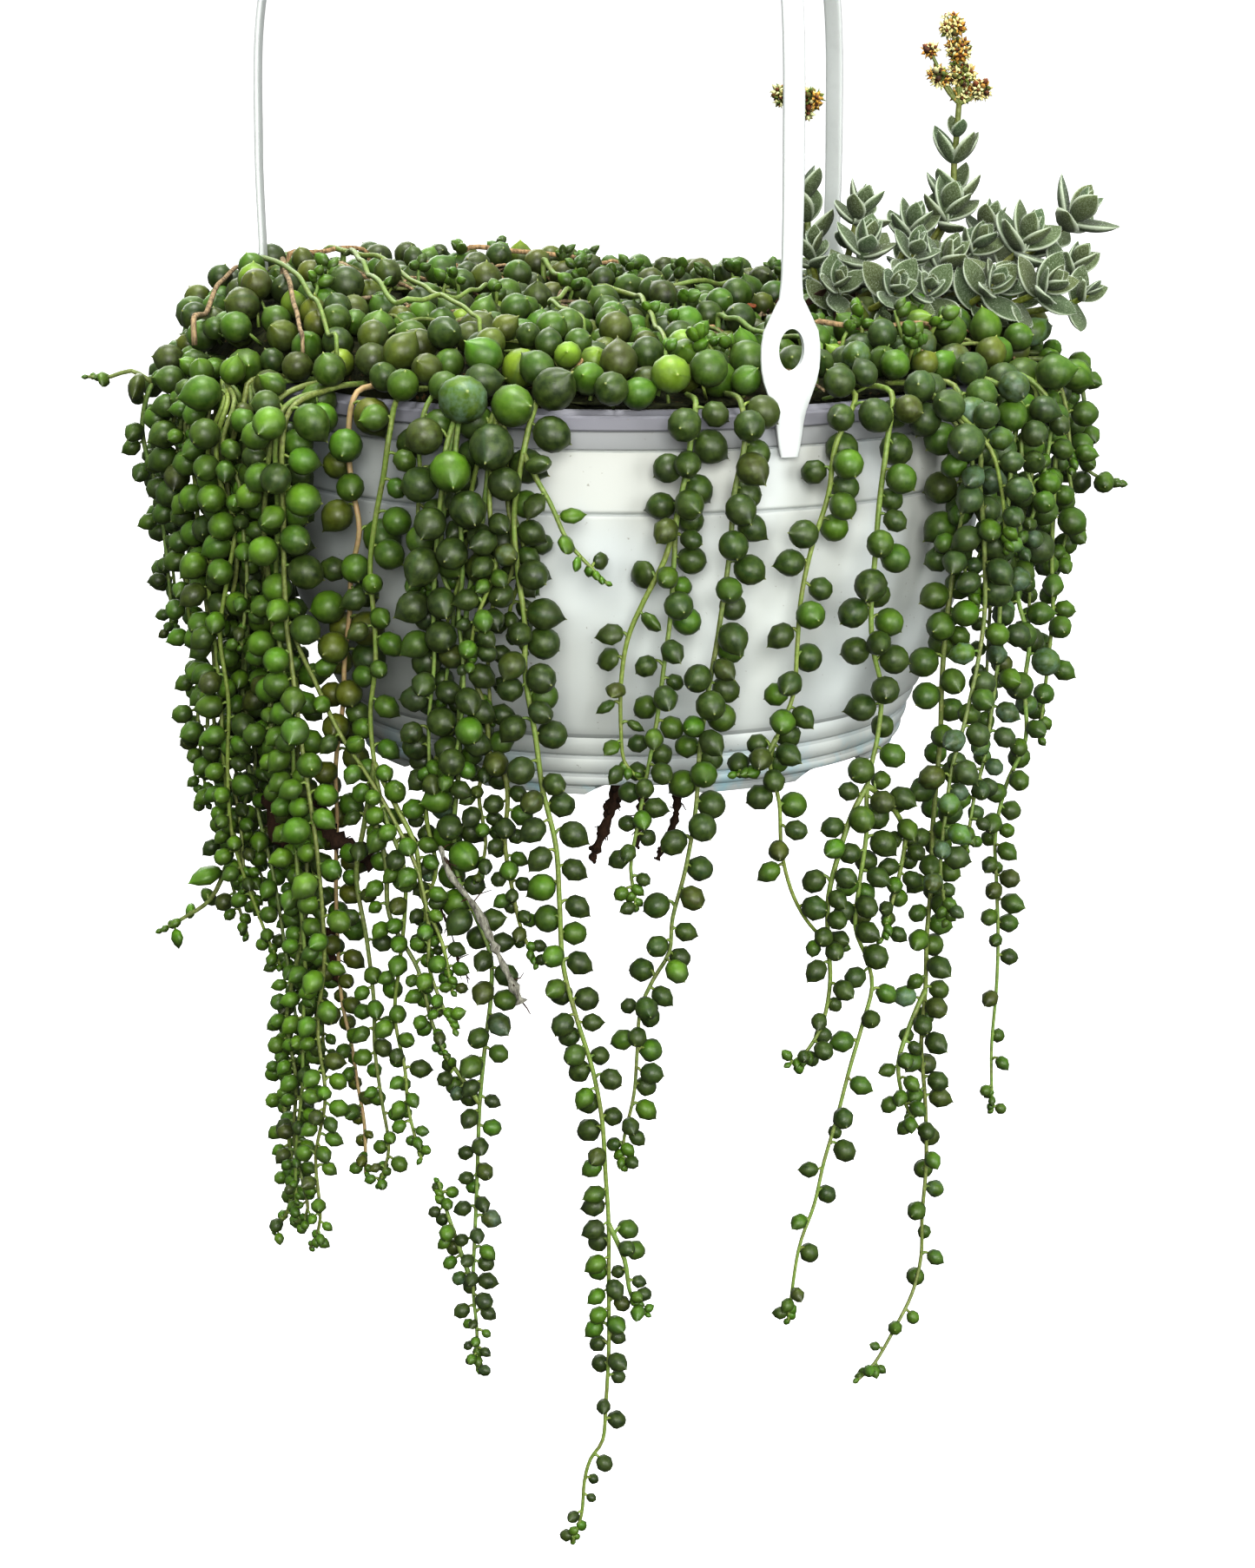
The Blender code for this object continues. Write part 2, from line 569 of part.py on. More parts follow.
def make_arm(index, bearing):
    """A flat strap with a clip hooked under the lip, a pierced spade, a long bow and a head on the hub."""
    turn = Matrix.Rotation(math.radians(bearing), 3, "Z")
    sections = arm_sections()
    verts = []
    for i, (radius, z, half) in enumerate(sections):
        before, after = sections[max(i - 1, 0)], sections[min(i + 1, len(sections) - 1)]
        ahead = Vector((after[0] - before[0], after[1] - before[1])).normalized()
        out = Vector((ahead.y, -ahead.x)) * (ARM_THICK / 2)
        for side, way in ((-half, -1), (half, -1), (half, 1), (-half, 1)):
            verts.append(turn @ Vector((side, -(radius + way * out.x), z + way * out.y)))
    faces = [(3, 2, 1, 0), tuple(range(len(verts) - 4, len(verts)))]
    for i in range(len(sections) - 1):
        a, b = 4 * i, 4 * (i + 1)
        faces += [(a + k, a + (k + 1) % 4, b + (k + 1) % 4, b + k) for k in range(4)]
    arm = make_object("hanger_arm_%d" % index, verts, faces)
    low, hub = lip_facet() + GAP, RIM_BELOW_HOOK + HUB_TOP
    catch = [(-3.0, -GAP), (-3.0, -3.0), (3.0, -3.0), (3.0, -GAP)]
    nib = prism(catch, WALL_RADIUS + GAP, low + 1, facing(bearing))
    head = prism(oblong(6.0, 2.2), hub + GAP, hub + 3.2, facing(bearing, HUB_SLOT_RADIUS))
    combine(arm, [nib, head])
    oval = circle(SPADE_HOLE, 10, 1.5, SPADE_HEIGHT)
    combine(arm, [prism(oval, low - 3, low + 5, facing(bearing))], "DIFFERENCE")
    return finish(arm, "hanger_white", 40)


def bump(bearing, centre):
    """One on a bearing, falling smoothly to nothing a quarter turn away."""
    return max(0.0, math.cos(math.radians(bearing - centre))) ** 6


def mat_edge(bearing):
    """How far the mat of pearls spreads from the axis."""
    back = 5.0 * max(0.0, -math.cos(math.radians(bearing)))
    return MAT_FRONT + MAT_LEFT_SPREAD * bump(bearing, -90) + MAT_RIGHT_SPREAD * bump(bearing, 90) + back


def mat_low(bearing):
    """Height of the mat's edge, which droops where it spreads."""
    return 7.4 - 8.0 * (mat_edge(bearing) - MAT_FRONT) / MAT_LEFT_SPREAD


def mat_point(t, bearing):
    """A point on the mat's crown: t runs from 0 on the axis to 1 at the edge."""
    flat = polar(mat_edge(bearing) * t, bearing, 0)
    waves = 1.5 * math.sin(flat.x / 19.0) * math.cos(flat.y / 23.0)
    crown = MAT_CROWN + 0.03 * flat.y + 0.045 * max(0.0, -flat.x) + waves
    low = mat_low(bearing)
    return Vector((flat.x, flat.y, low + (crown - low) * math.sqrt(max(0.0, 1.0 - t ** 6))))


def make_mat(holes, obstacles):
    """The mat: a core in bumps, with plain holes for the vines, and whole pearls that stand out of it."""
    rng = random.Random(SEED)
    verts = [mat_point(0, 0) + Vector((0, 0, MAT_BUMP))]
    index = {(0, 0): 0}
    for ring in range(1, MAT_RINGS + 1):
        for i in range(6 * ring):
            sector, step = divmod(i, ring)
            bearing = 60.0 * (sector + step / ring)
            peak = (ring + step) % 3 == 0
            point = mat_point(ring / MAT_RINGS, bearing)
            point.z += (MAT_BUMP if peak else MAT_DENT) * rng.uniform(0.7, 1.3) if ring < MAT_RINGS else 0.0
            index[(ring, i)] = len(verts)
            verts.append(point)
    faces = []
    for ring in range(1, MAT_RINGS + 1):
        count, inner = 6 * ring, 6 * (ring - 1)
        for i in range(count):
            sector, step = divmod(i, ring)
            a, b = index[(ring, i)], index[(ring, (i + 1) % count)]
            low = sector * (ring - 1) + step
            c = index[(ring - 1, low % inner if inner else 0)]
            faces.append((a, b, c))
            if step < ring - 1:
                faces.append((b, index[(ring - 1, (low + 1) % inner)], c))
    outer = 6 * MAT_RINGS
    under = outer // 3
    rings = [(LIP_RADIUS + 1.2, MAT_UNDER), (MAT_PLUG, MAT_UNDER), (MAT_PLUG - 0.4, SOIL_TOP + GAP)]
    starts = []
    for radius, z in rings:
        starts.append(len(verts))
        verts += [polar(radius, 360.0 * i / under, z) for i in range(under)]
    middle = len(verts)
    verts.append(Vector((0, 0, SOIL_TOP + GAP)))
    for i in range(under):
        j = (i + 1) % under
        top = [index[(MAT_RINGS, (3 * i + k) % outer)] for k in range(4)]
        a, b = starts[0] + i, starts[0] + j
        faces += [(a, top[1], top[0]), (a, top[2], top[1]), (a, b, top[2]), (b, top[3], top[2])]
        for first, second in zip(starts, starts[1:]):
            faces += [(first + i, second + i, second + j, first + j)]
        faces.append((starts[-1] + i, middle, starts[-1] + j))
    mat = make_object("pearl_mat", verts, faces)
    combine(mat, holes, "DIFFERENCE")
    combine(mat, mat_pearls(rng, obstacles))
    return finish(mat, "pearl_green")


def mat_pearls(rng, obstacles):
    """Whole pearls spread evenly over the mat, clear of what grows through it or hangs over it."""
    pearls = []
    well = Vector((*WELL_CENTRE, 0))
    for i in range(3 * MAT_PEARLS):
        t = math.sqrt((i + 0.5) / (3 * MAT_PEARLS))
        bearing = 137.508 * i
        t = min(0.985, t + 0.02 * rng.random())
        point = mat_point(t, bearing)
        ahead = (mat_point(min(1.0, t + 0.01), bearing) - mat_point(t - 0.01, bearing)).normalized()
        round_way = polar(1, bearing + 90, 0)
        normal = ahead.cross(round_way)
        normal = normal if normal.z > 0 else -normal
        radius = MAT_PEARL_SIZES[0] + (MAT_PEARL_SIZES[1] - MAT_PEARL_SIZES[0]) * rng.random() ** 1.5
        centre = point + normal * radius * 0.55
        tilt = Vector((rng.uniform(-1, 1), rng.uniform(-1, 1), rng.uniform(-0.5, 1)))
        reach = PEARL_REACH * radius
        near_well = (Vector((point.x, point.y, 0)) - well).length < WELL_RADIUS + radius + 2
        on_lip = centre.xy.length > LIP_INNER - 3 - radius and centre.z - reach < MAT_UNDER - 0.2
        if i % 3 or near_well or on_lip or not is_clear(centre, reach, obstacles, "pearl_mat"):
            continue
        pearls.append(pearl(centre, normal * 0.6 + tilt * 0.7, radius))
        obstacles.append((centre, radius * 0.6, "pearl_mat"))
    return pearls


def is_clear(centre, radius, obstacles, own):
    """True where a ball keeps its distance from every obstacle of another piece."""
    others = [(point, size) for point, size, name in obstacles if name != own]
    return all((centre - point).length > radius + size + CLEAR for point, size in others)


def vine_paths():
    """The paths of every vine: name, pearl sizes and the stem's and branches' points."""
    vines = []
    for root, depth, sizes, routes in VINES:
        paths = [[Vector((x, depth(x), z)) for x, z in route] for route in routes]
        paths[0] = root_points(root) + paths[0]
        vines.append((sizes, paths))
    rng = random.Random(SEED + 1)
    for root, reach, length in BACK_VINES:
        drift = rng.uniform(-1.4, 1.4)
        count = max(3, round(length / 24))
        path = root_points(root)
        for i in range(count):
            bearing = root + drift * i + rng.uniform(-0.5, 0.5)
            path.append(polar(reach + rng.uniform(-1, 1), bearing, 2 - (length + 2) * i / (count - 1)))
        vines.append(((4.8, 3.0), [path]))
    named = []
    for i, (sizes, paths) in enumerate(vines):
        paths = [simplify(smooth_path(path, 6.0), SIMPLIFY) for path in paths]
        for path in paths[1:]:
            path[0] = nearest_on(paths[0], path[0])
        named.append(("string_%02d" % (i + 1), sizes, paths))
    return named


def root_points(bearing):
    """A vine's first stretch: sunk in the mat, then straight out over the lip."""
    edge = mat_edge(bearing)
    return [polar(edge - ROOT_DEPTH, bearing, ROOT_HEIGHT), polar(edge + 2.5, bearing, ROOT_HEIGHT - 0.6)]


def root_hole(path):
    """The plain hole in the mat that a vine's first stretch stands in."""
    start, end = path[0], path[1]
    way = (end - start).normalized()
    return tube([start - way * 1.0, end + way * 6.0], HOLE_RADIUS, HOLE_RADIUS, STEM_SIDES)


def stem_samples(name, path, radius):
    """Balls along a path that keep other pieces away from it."""
    samples = []
    for start, end in zip(path, path[1:]):
        count = max(1, math.ceil((end - start).length / 2.0))
        samples += [(start.lerp(end, k / count), radius, name) for k in range(count)]
    return samples + [(path[-1], radius, name)]


def spot_on(path, distance):
    """The point at a distance along a path, or past its end in the same direction."""
    for a, b in zip(path, path[1:]):
        length = (b - a).length
        if distance <= length or b is path[-1]:
            return a + (b - a) * (distance / length)
        distance -= length


def nearest_on(path, point):
    """The point of a path that lies nearest to another point."""
    spots = []
    for a, b in zip(path, path[1:]):
        share = (point - a).dot(b - a) / (b - a).length_squared
        spots.append(a.lerp(b, min(1.0, max(0.0, share))))
    return min(spots, key=lambda spot: (spot - point).length)


def vine_pearls(name, sizes, path, start, joints, obstacles, rng):
    """Pearls along one stem, on every side but the inner: distance, centre and radius of each."""
    total = sum((b - a).length for a, b in zip(path, path[1:]))
    pearls = []
    distance = start
    while distance < total - 2.2 * sizes[1]:
        share = distance / total
        radius = (sizes[0] + (sizes[1] - sizes[0]) * share) * rng.uniform(0.9, 1.1)
        spot = spot_on(path, distance)
        if any((spot - joint).length < radius * PEARL_LONG + 3.0 for joint in joints):
            distance += 4.0
            continue
        along = (spot_on(path, distance + 1.0) - spot_on(path, distance - 1.0)).normalized()
        centre = place_pearl(name, spot, along, radius, len(pearls), obstacles)
        if centre:
            pearls.append((distance, centre, radius))
        distance += PEARL_STEP * rng.uniform(0.85, 1.15)
    tip = spot_on(path, total + 0.8 * sizes[1])
    if is_clear(tip, sizes[1] * PEARL_REACH, obstacles, name):
        pearls.append((total + 0.8 * sizes[1], tip, sizes[1]))
        obstacles.append((tip, sizes[1] * PEARL_REACH, name))
    return pearls


def place_pearl(name, spot, along, radius, count, obstacles):
    """Centre of a pearl beside its stem, on the first side that is clear. Nothing where none is."""
    out = Vector((spot.x, spot.y, 0)).normalized()
    out = (out - along * out.dot(along)).normalized()
    for attempt in range(7):
        swing = -105.0 + 210.0 * ((count * 0.618 + attempt * 0.27) % 1.0)
        way = Matrix.Rotation(math.radians(swing), 3, along) @ out
        centre = spot + way * radius * 0.8
        reach = radius * PEARL_REACH
        flat = Vector((centre.x, centre.y)).length
        off_pot = flat - reach > pot_reach(centre.z) + CLEAR
        bearing = bearing_of(centre)
        off_mat = centre.z + reach < mat_low(bearing) - 1.5 or flat - reach > mat_edge(bearing) + 1.5
        if off_pot and off_mat and is_clear(centre, reach, obstacles, name):
            obstacles.append((centre, reach, name))
            return centre
    return None


def beaded_stem(path, pearls):
    """A stem with pearls raised from its side, as one closed solid."""
    lengths = [0.0]
    for a, b in zip(path, path[1:]):
        lengths.append(lengths[-1] + (b - a).length)
    total = lengths[-1]

    def stem_ring(distance):
        spot = spot_on(path, distance)
        return distance, (spot, spot, STEM_RADIUS + (STEM_TIP - STEM_RADIUS) * min(1.0, distance / total))

    rings = []
    for distance in lengths:
        if all(abs(distance - place) > radius * PEARL_LONG + 1.5 for place, centre, radius in pearls):
            rings.append(stem_ring(distance))
    for place, centre, radius in pearls:
        rings += [stem_ring(place - radius * PEARL_LONG), stem_ring(place + radius * PEARL_LONG)]
        rings.append((place, (spot_on(path, place), centre, radius * PEARL_WIDE)))
    rings.sort(key=lambda ring: ring[0])
    return skin([ring for distance, ring in rings], STEM_SIDES)


def make_vine(name, sizes, paths, obstacles):
    """One hanging string: stem, branches and pearls as one solid."""
    rng = random.Random(name)
    joints = [path[0] for path in paths[1:]]
    stems = []
    for index, path in enumerate(paths):
        start = 24.0 if index == 0 else 10.0
        pearls = vine_pearls(name, sizes, path, start, joints if index == 0 else [], obstacles, rng)
        stems.append(beaded_stem(path, pearls))
    vine = make_object(name, *stems[0])
    combine(vine, stems[1:])
    return finish(vine, "vine_green")


def leaf(root, way, up, length):
    """A thick leaf: four corners round its outline, a high point on each face, its foot in the stem."""
    way = way.normalized()
    across = way.cross(up).normalized()
    normal = across.cross(way)
    half = length * LEAF_WIDTH / 2
    outline = [(0.0, 0.0), (0.62, 1.0), (1.0, 0.0), (0.62, -1.0)]
    foot = root - way * LEAF_FOOT
    length += LEAF_FOOT
    lift = normal * length * 0.12
    verts = [foot + way * length * u + across * half * v + lift * u * u for u, v in outline]
    middle = foot + way * length * 0.5 + normal * length * 0.05
    verts += [middle + normal * LEAF_THICK / 2, middle - normal * LEAF_THICK / 2]
    faces = []
    for k in range(4):
        faces += [(k, (k + 1) % 4, 4), ((k + 1) % 4, k, 5)]
    return verts, faces


def leaf_is_clear(root, way, length, obstacles, own):
    """True where a leaf keeps its distance from other pieces all along."""
    spots = [root + way.normalized() * length * u for u in (0.35, 0.65, 1.0)]
    return all(is_clear(spot, length * LEAF_WIDTH / 2 + 0.4, obstacles, own) for spot in spots)


def add_leaf(name, root, way, up, length, shapes, obstacles):
    """Adds a leaf and its obstacles where it is clear."""
    if not leaf_is_clear(root, way, length, obstacles, name):
        return
    shapes.append(leaf(root, way, up, length))
    reach = way.normalized() * length
    obstacles += [(root + reach * u, length * LEAF_WIDTH / 2, name) for u in (0.35, 0.65, 1.0)]


def rosette(name, centre, stem_way, length, shapes, obstacles):
    """Crossed pairs of leaves, the lower ones longer and lying flatter."""
    rng = random.Random("%s %d" % (name, round(centre.x)))
    up = stem_way.normalized()
    side = up.orthogonal().normalized()
    for pair in range(LEAF_PAIRS):
        for turn in (0, 180):
            rise = 0.05 + 0.42 * pair + rng.uniform(-0.06, 0.06)
            size = length * (1.0 - 0.2 * pair) * rng.uniform(0.92, 1.06)
            root = centre + up * (2.1 * pair - 2.2 + rng.uniform(-0.3, 0.3))
            swing = turn + 90 * (pair % 2) + 20 * (pair // 2) + rng.uniform(-7, 7)
            way = Matrix.Rotation(math.radians(swing), 3, up) @ side
            add_leaf(name, root, way + up * rise, up, size, shapes, obstacles)


def make_crassula(index, place, centres, length, obstacles):
    """One crassula plant in its hole in the soil: a stem that branches to its rosettes."""
    name = "crassula_%d" % index
    fork = Vector((*place, 24.0))
    paths = []
    for centre in centres:
        centre = Vector(centre)
        way = (centre - fork).normalized() + Vector((0, 0, 0.8))
        paths.append([fork, fork.lerp(centre, 0.6) + Vector((0, 0, -2)), centre + way.normalized() * 3.0])
    paths[0].insert(0, Vector((*place, SOIL_TOP - 8.0)))
    for path in paths:
        obstacles += stem_samples(name, path, CRASSULA_STEM)
    shapes = [tube(path, CRASSULA_STEM, CRASSULA_STEM * 0.8, 4) for path in paths[1:]]
    for path, centre in zip(paths, centres):
        rosette(name, Vector(centre), path[-1] - path[-2], length, shapes, obstacles)
    plant = make_object(name, *tube(paths[0], CRASSULA_STEM, CRASSULA_STEM * 0.8, 4))
    combine(plant, shapes)
    return finish(plant, "crassula_grey")


def make_stalk(index, place, bends, head, obstacles):
    """One flower stalk: paired leaves on the way up, then a core from which the florets stand out."""
    name = "flower_stalk_%d" % index
    path = [Vector((*place, SOIL_TOP - 8.0)), Vector((*place, 22.0))] + [Vector(bend) for bend in bends]
    spread, height = head
    top = path[-1] + Vector((0, 0, height))
    shapes = []
    for number, spot in enumerate(path[2:-1]):
        for turn in (0, 180):
            way = polar(1, turn + 90 * number + 20, 0.75)
            add_leaf(name, spot, way, Vector((0, 0, 1)), STALK_LEAF, shapes, obstacles)
    core = [(path[-1].lerp(top, share), spread * part) for share, part in HEAD_CORE]
    shapes.append(skin([(point, point, radius) for point, radius in core], 6))
    florets = round(3 + height / 2.6)
    for k in range(florets):
        share = (k + 0.5) / florets
        middle = path[-1].lerp(top, share)
        spot = middle + polar(spread * math.sin(math.pi * (0.22 + 0.55 * share)) * 0.7, 137.5 * k, 0)
        shapes.append(spindle(spot, spot - middle + Vector((0, 0, 2)), 3.0, 4.0, 2.8))
    obstacles += stem_samples(name, path + [top], CRASSULA_STEM)
    stalk = make_object(name, *tube(path, CRASSULA_STEM * 0.8, 0.9, 4))
    combine(stalk, shapes)
    return finish(stalk, "flower_cream")


def make_roots():
    """Three roots that leave the soil through one drain hole."""
    paths = [[Vector(point) for point in route] for route in DRAIN_ROOTS]
    roots = make_object("drain_roots", *tube(paths[0], ROOT_RADIUS, 0.6, 3))
    combine(roots, [tube(path, ROOT_RADIUS, 0.6, 3) for path in paths[1:]])
    return finish(roots, "root_brown")


def arm_slot(bearing):
    """The slot in the mat that a hanger arm stands in, open to the outside where the mat ends close by."""
    low = lip_facet() - 0.6
    deep = 4.4 if mat_edge(bearing) > MAT_FRONT + 12 else 30.0
    return prism(oblong(SPADE_HALF_WIDTH + 0.8, deep / 2), -20.0, 60.0, facing(bearing, low + deep / 2))


def mat_well():
    """The opening in the mat through which the crassula grows."""
    return prism(circle(WELL_RADIUS, 12), -2.0, 60.0, upright(*WELL_CENTRE))


def arm_samples():
    """Balls along each arm, as wide as the arm, that keep the plants away."""
    samples = []
    sections = arm_sections()
    for bearing in ARM_BEARINGS:
        for (radius, z, half), (radius2, z2, half2) in zip(sections, sections[1:]):
            count = max(1, math.ceil(math.hypot(radius2 - radius, z2 - z) / 3.0))
            for k in range(count):
                t = k / count
                middle = polar(radius + (radius2 - radius) * t, bearing, z + (z2 - z) * t)
                wide = half + (half2 - half) * t
                across = polar(wide, bearing + 90, 0)
                for shift in (-0.75, 0.0, 0.75):
                    samples.append((middle + across * shift, wide * 0.3 + 1.0, "hanger"))
    return samples


def clear_scene():
    for obj in list(bpy.data.objects):
        bpy.data.objects.remove(obj)


def build():
    clear_scene()
    hook = make_hook()
    rim = bpy.data.objects.new("rim_plane", None)
    bpy.context.scene.collection.objects.link(rim)
    rim.location = (0, 0, -RIM_BELOW_HOOK * MM)

    vines = vine_paths()
    obstacles = arm_samples()
    for name, sizes, paths in vines:
        for path in paths:
            obstacles += stem_samples(name, path, STEM_RADIUS)

    pieces = [make_pot(), make_soil(), make_roots()]
    pieces += [make_arm(i + 1, bearing) for i, bearing in enumerate(ARM_BEARINGS)]
    pieces += [make_vine(name, sizes, paths, obstacles) for name, sizes, paths in vines]
    pieces += [make_crassula(i + 1, *entry, obstacles) for i, entry in enumerate(CRASSULAS)]
    pieces += [make_stalk(i + 1, *entry, obstacles) for i, entry in enumerate(FLOWER_STALKS)]
    holes = [root_hole(paths[0]) for name, sizes, paths in vines]
    holes += [arm_slot(bearing) for bearing in ARM_BEARINGS] + [mat_well()]
    pieces.append(make_mat(holes, obstacles))
    for piece in pieces:
        piece.parent = rim
    return [hook] + pieces


build()
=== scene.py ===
"""Looks of a string of pearls in a white hanging bowl, with a small woolly crassula in the same soil.

Sizes are in millimetres. Heights are measured from the rim plane, the underside of the pot's lip,
which hangs RIM_BELOW_HOOK under the origin. Bearings are degrees round the pot from its front,
positive to the right.
"""
import json
import math
import random

import bmesh
import bpy
import numpy as np
from mathutils import Matrix, Vector

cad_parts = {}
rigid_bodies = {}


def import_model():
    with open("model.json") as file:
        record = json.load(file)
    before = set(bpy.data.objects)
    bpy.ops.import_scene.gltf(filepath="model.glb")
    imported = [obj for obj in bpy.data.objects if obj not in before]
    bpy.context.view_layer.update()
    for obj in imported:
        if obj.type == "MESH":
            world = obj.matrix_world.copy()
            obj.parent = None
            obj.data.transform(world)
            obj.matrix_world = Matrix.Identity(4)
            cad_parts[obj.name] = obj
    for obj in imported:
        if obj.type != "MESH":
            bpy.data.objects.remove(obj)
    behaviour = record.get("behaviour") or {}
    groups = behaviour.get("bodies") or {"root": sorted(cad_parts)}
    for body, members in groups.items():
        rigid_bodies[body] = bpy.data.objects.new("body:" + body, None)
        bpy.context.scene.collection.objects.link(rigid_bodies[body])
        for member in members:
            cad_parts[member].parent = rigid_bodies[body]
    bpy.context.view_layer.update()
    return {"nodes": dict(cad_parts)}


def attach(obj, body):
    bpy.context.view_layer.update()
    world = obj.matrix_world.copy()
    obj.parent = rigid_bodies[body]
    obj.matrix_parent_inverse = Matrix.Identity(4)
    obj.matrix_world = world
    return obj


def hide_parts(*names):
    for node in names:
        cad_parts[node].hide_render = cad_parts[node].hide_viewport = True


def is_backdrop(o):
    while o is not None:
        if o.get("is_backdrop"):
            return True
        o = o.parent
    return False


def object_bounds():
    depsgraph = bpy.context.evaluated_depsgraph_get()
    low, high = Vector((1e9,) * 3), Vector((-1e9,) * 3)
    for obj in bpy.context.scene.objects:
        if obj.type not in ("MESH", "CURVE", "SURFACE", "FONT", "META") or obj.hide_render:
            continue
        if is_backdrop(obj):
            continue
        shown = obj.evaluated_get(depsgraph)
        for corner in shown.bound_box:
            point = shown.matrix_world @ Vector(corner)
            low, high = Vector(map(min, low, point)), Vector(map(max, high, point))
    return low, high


MM = 0.001
SEED = 5
BACK_SEED = 12
# Turn from one pearl or bud to the next, in degrees
GOLDEN_TURN = 137.5

# Hanger
RIM_BELOW_HOOK = 350.0
HOOK_ROD = 2.6
HOOK_THROAT = 13.0
HUB_RADIUS = 15.0
HUB_TOP = -50.5
HUB_THICK = 3.5
HUB_SLOT_RADIUS = 9.5
ARM_BEARINGS = (23.0, 143.0, -97.0)
ARM_THICK = 1.8
ARM_HALF_WIDTH = 3.5
ARM_SIDES = 12
SPADE_HALF_WIDTH = 10.0
SPADE_HEIGHT = 23.5
SPADE_HOLE = 4.2
CLIP_REACH = 124.52
CLIP_GAP = 0.35

# Pot
POT_SIDES = 168
LIP_RADIUS = 125.0
LIP_INNER = 119.5
LIP_TOP = 6.0
COLLAR_DROP = 5.8
WALL_RADIUS = 122.5
WALL_STRAIGHT = 10.0
WALL_FALL = 160.0
WALL_THICK = 2.4
GROOVE_DROP = 25.7
RIDGE_DROPS = (100.0, 107.5, 113.9, 118.4)
RIDGE_RADII = (99.4, 96.8, 94.8, 93.4)
RIDGE_BULGE = 1.4
FOOT_RADIUS = 92.8
FOOT_DROP = 121.3
FLOOR_UNDER = 116.8
FLOOR_TOP = 114.4
NOTCHES = 8
NOTCH_BEARING = 3.0
NOTCH_TOP = 117.6
NOTCH_HALF_ANGLE = 11.0
DRAINS = 8
DRAIN_RING = 60.0
DRAIN_RADIUS = 4.5

# Mat of pearls
MAT_FRONT = 128.0
MAT_LEFT_SPREAD = 21.0
MAT_RIGHT_SPREAD = 14.0
MAT_BACK_SPREAD = 5.0
MAT_SET_BACK = 6.0
MAT_SET_BACK_EASE = 2.2
MAT_EDGE_HEIGHT = 7.4
MAT_EDGE_DROOP = 8.0
MAT_CROWN = 19.5
MAT_RISE_BACK = 0.05
MAT_RISE_LEFT = 0.135
MAT_WAVE = 1.5
MAT_WAVE_ACROSS = 19.0
MAT_WAVE_BACK = 23.0
MAT_MIDDLE = 45.0
MAT_TOP_TRIES = 5200
MAT_RIM_TRIES = 3400
MAT_OVERLAP = 0.1
MAT_SPROUTS = 46
THATCH_RINGS = 34
THATCH_SIDES = 120
THATCH_INSIDE = ((117.0, 7.0), (116.6, 1.4))
LOOSE_STEMS = 120
LOOSE_REACH = 118.0
MAT_FRONT_BEARING = 62.0
MAT_SEAT = 0.8
MAT_LIFT = 1.1
WELL_CENTRE = (84.0, 10.0)
WELL_RADIUS = 27.0

# Strings of pearls
STEM_RADIUS = 0.98
STEM_TIP = 0.56
STEM_OLD_SHARE = 0.5
PEARL_MOST = 7.6
PEARL_SPREAD = (0.74, 1.2, 1.0)
BACK_SIZES = (4.8, 3.0)
PLACE_TRIES = 7
PLACE_TURN = 53.0
PLACE_SPREAD = 0.78
TIP_SHARE = 0.94
TIP_SIZE = 0.75
SPARSE_STEP = 2.1
BUNCHING = 0.3
BUNCH_LENGTH = 2.6
OVERLAP = 0.14
OVERLAP_PACKED = 0.26
BOX_MARGIN = 1.55
FRONT_LIMIT = 143.5
ROOT_DEPTH = 13.0
ROOT_HEIGHT = 9.8
# Thin pointed leaves that some branches carry: size, steps apart, flatness and lightness
THIN_LEAF = 4.9
THIN_LEAF_STEPS = (2.3, 2.5)
THIN_LEAF_FLAT = 0.62
THIN_LEAF_LIGHT = 1.4

# Leaves of the crassula: width to length, hairs on each margin and on the skin
LEAF_WIDTH = 0.6
MARGIN_HAIRS = 22
SKIN_HAIRS = 26


def around(reach):
    """Hangs a route on the front of a cylinder round the pot."""
    return lambda x: -math.sqrt(max(reach * reach - x * x, 0.0))


def at_depth(depth):
    """Hangs a route in one upright plane."""
    return lambda x: depth


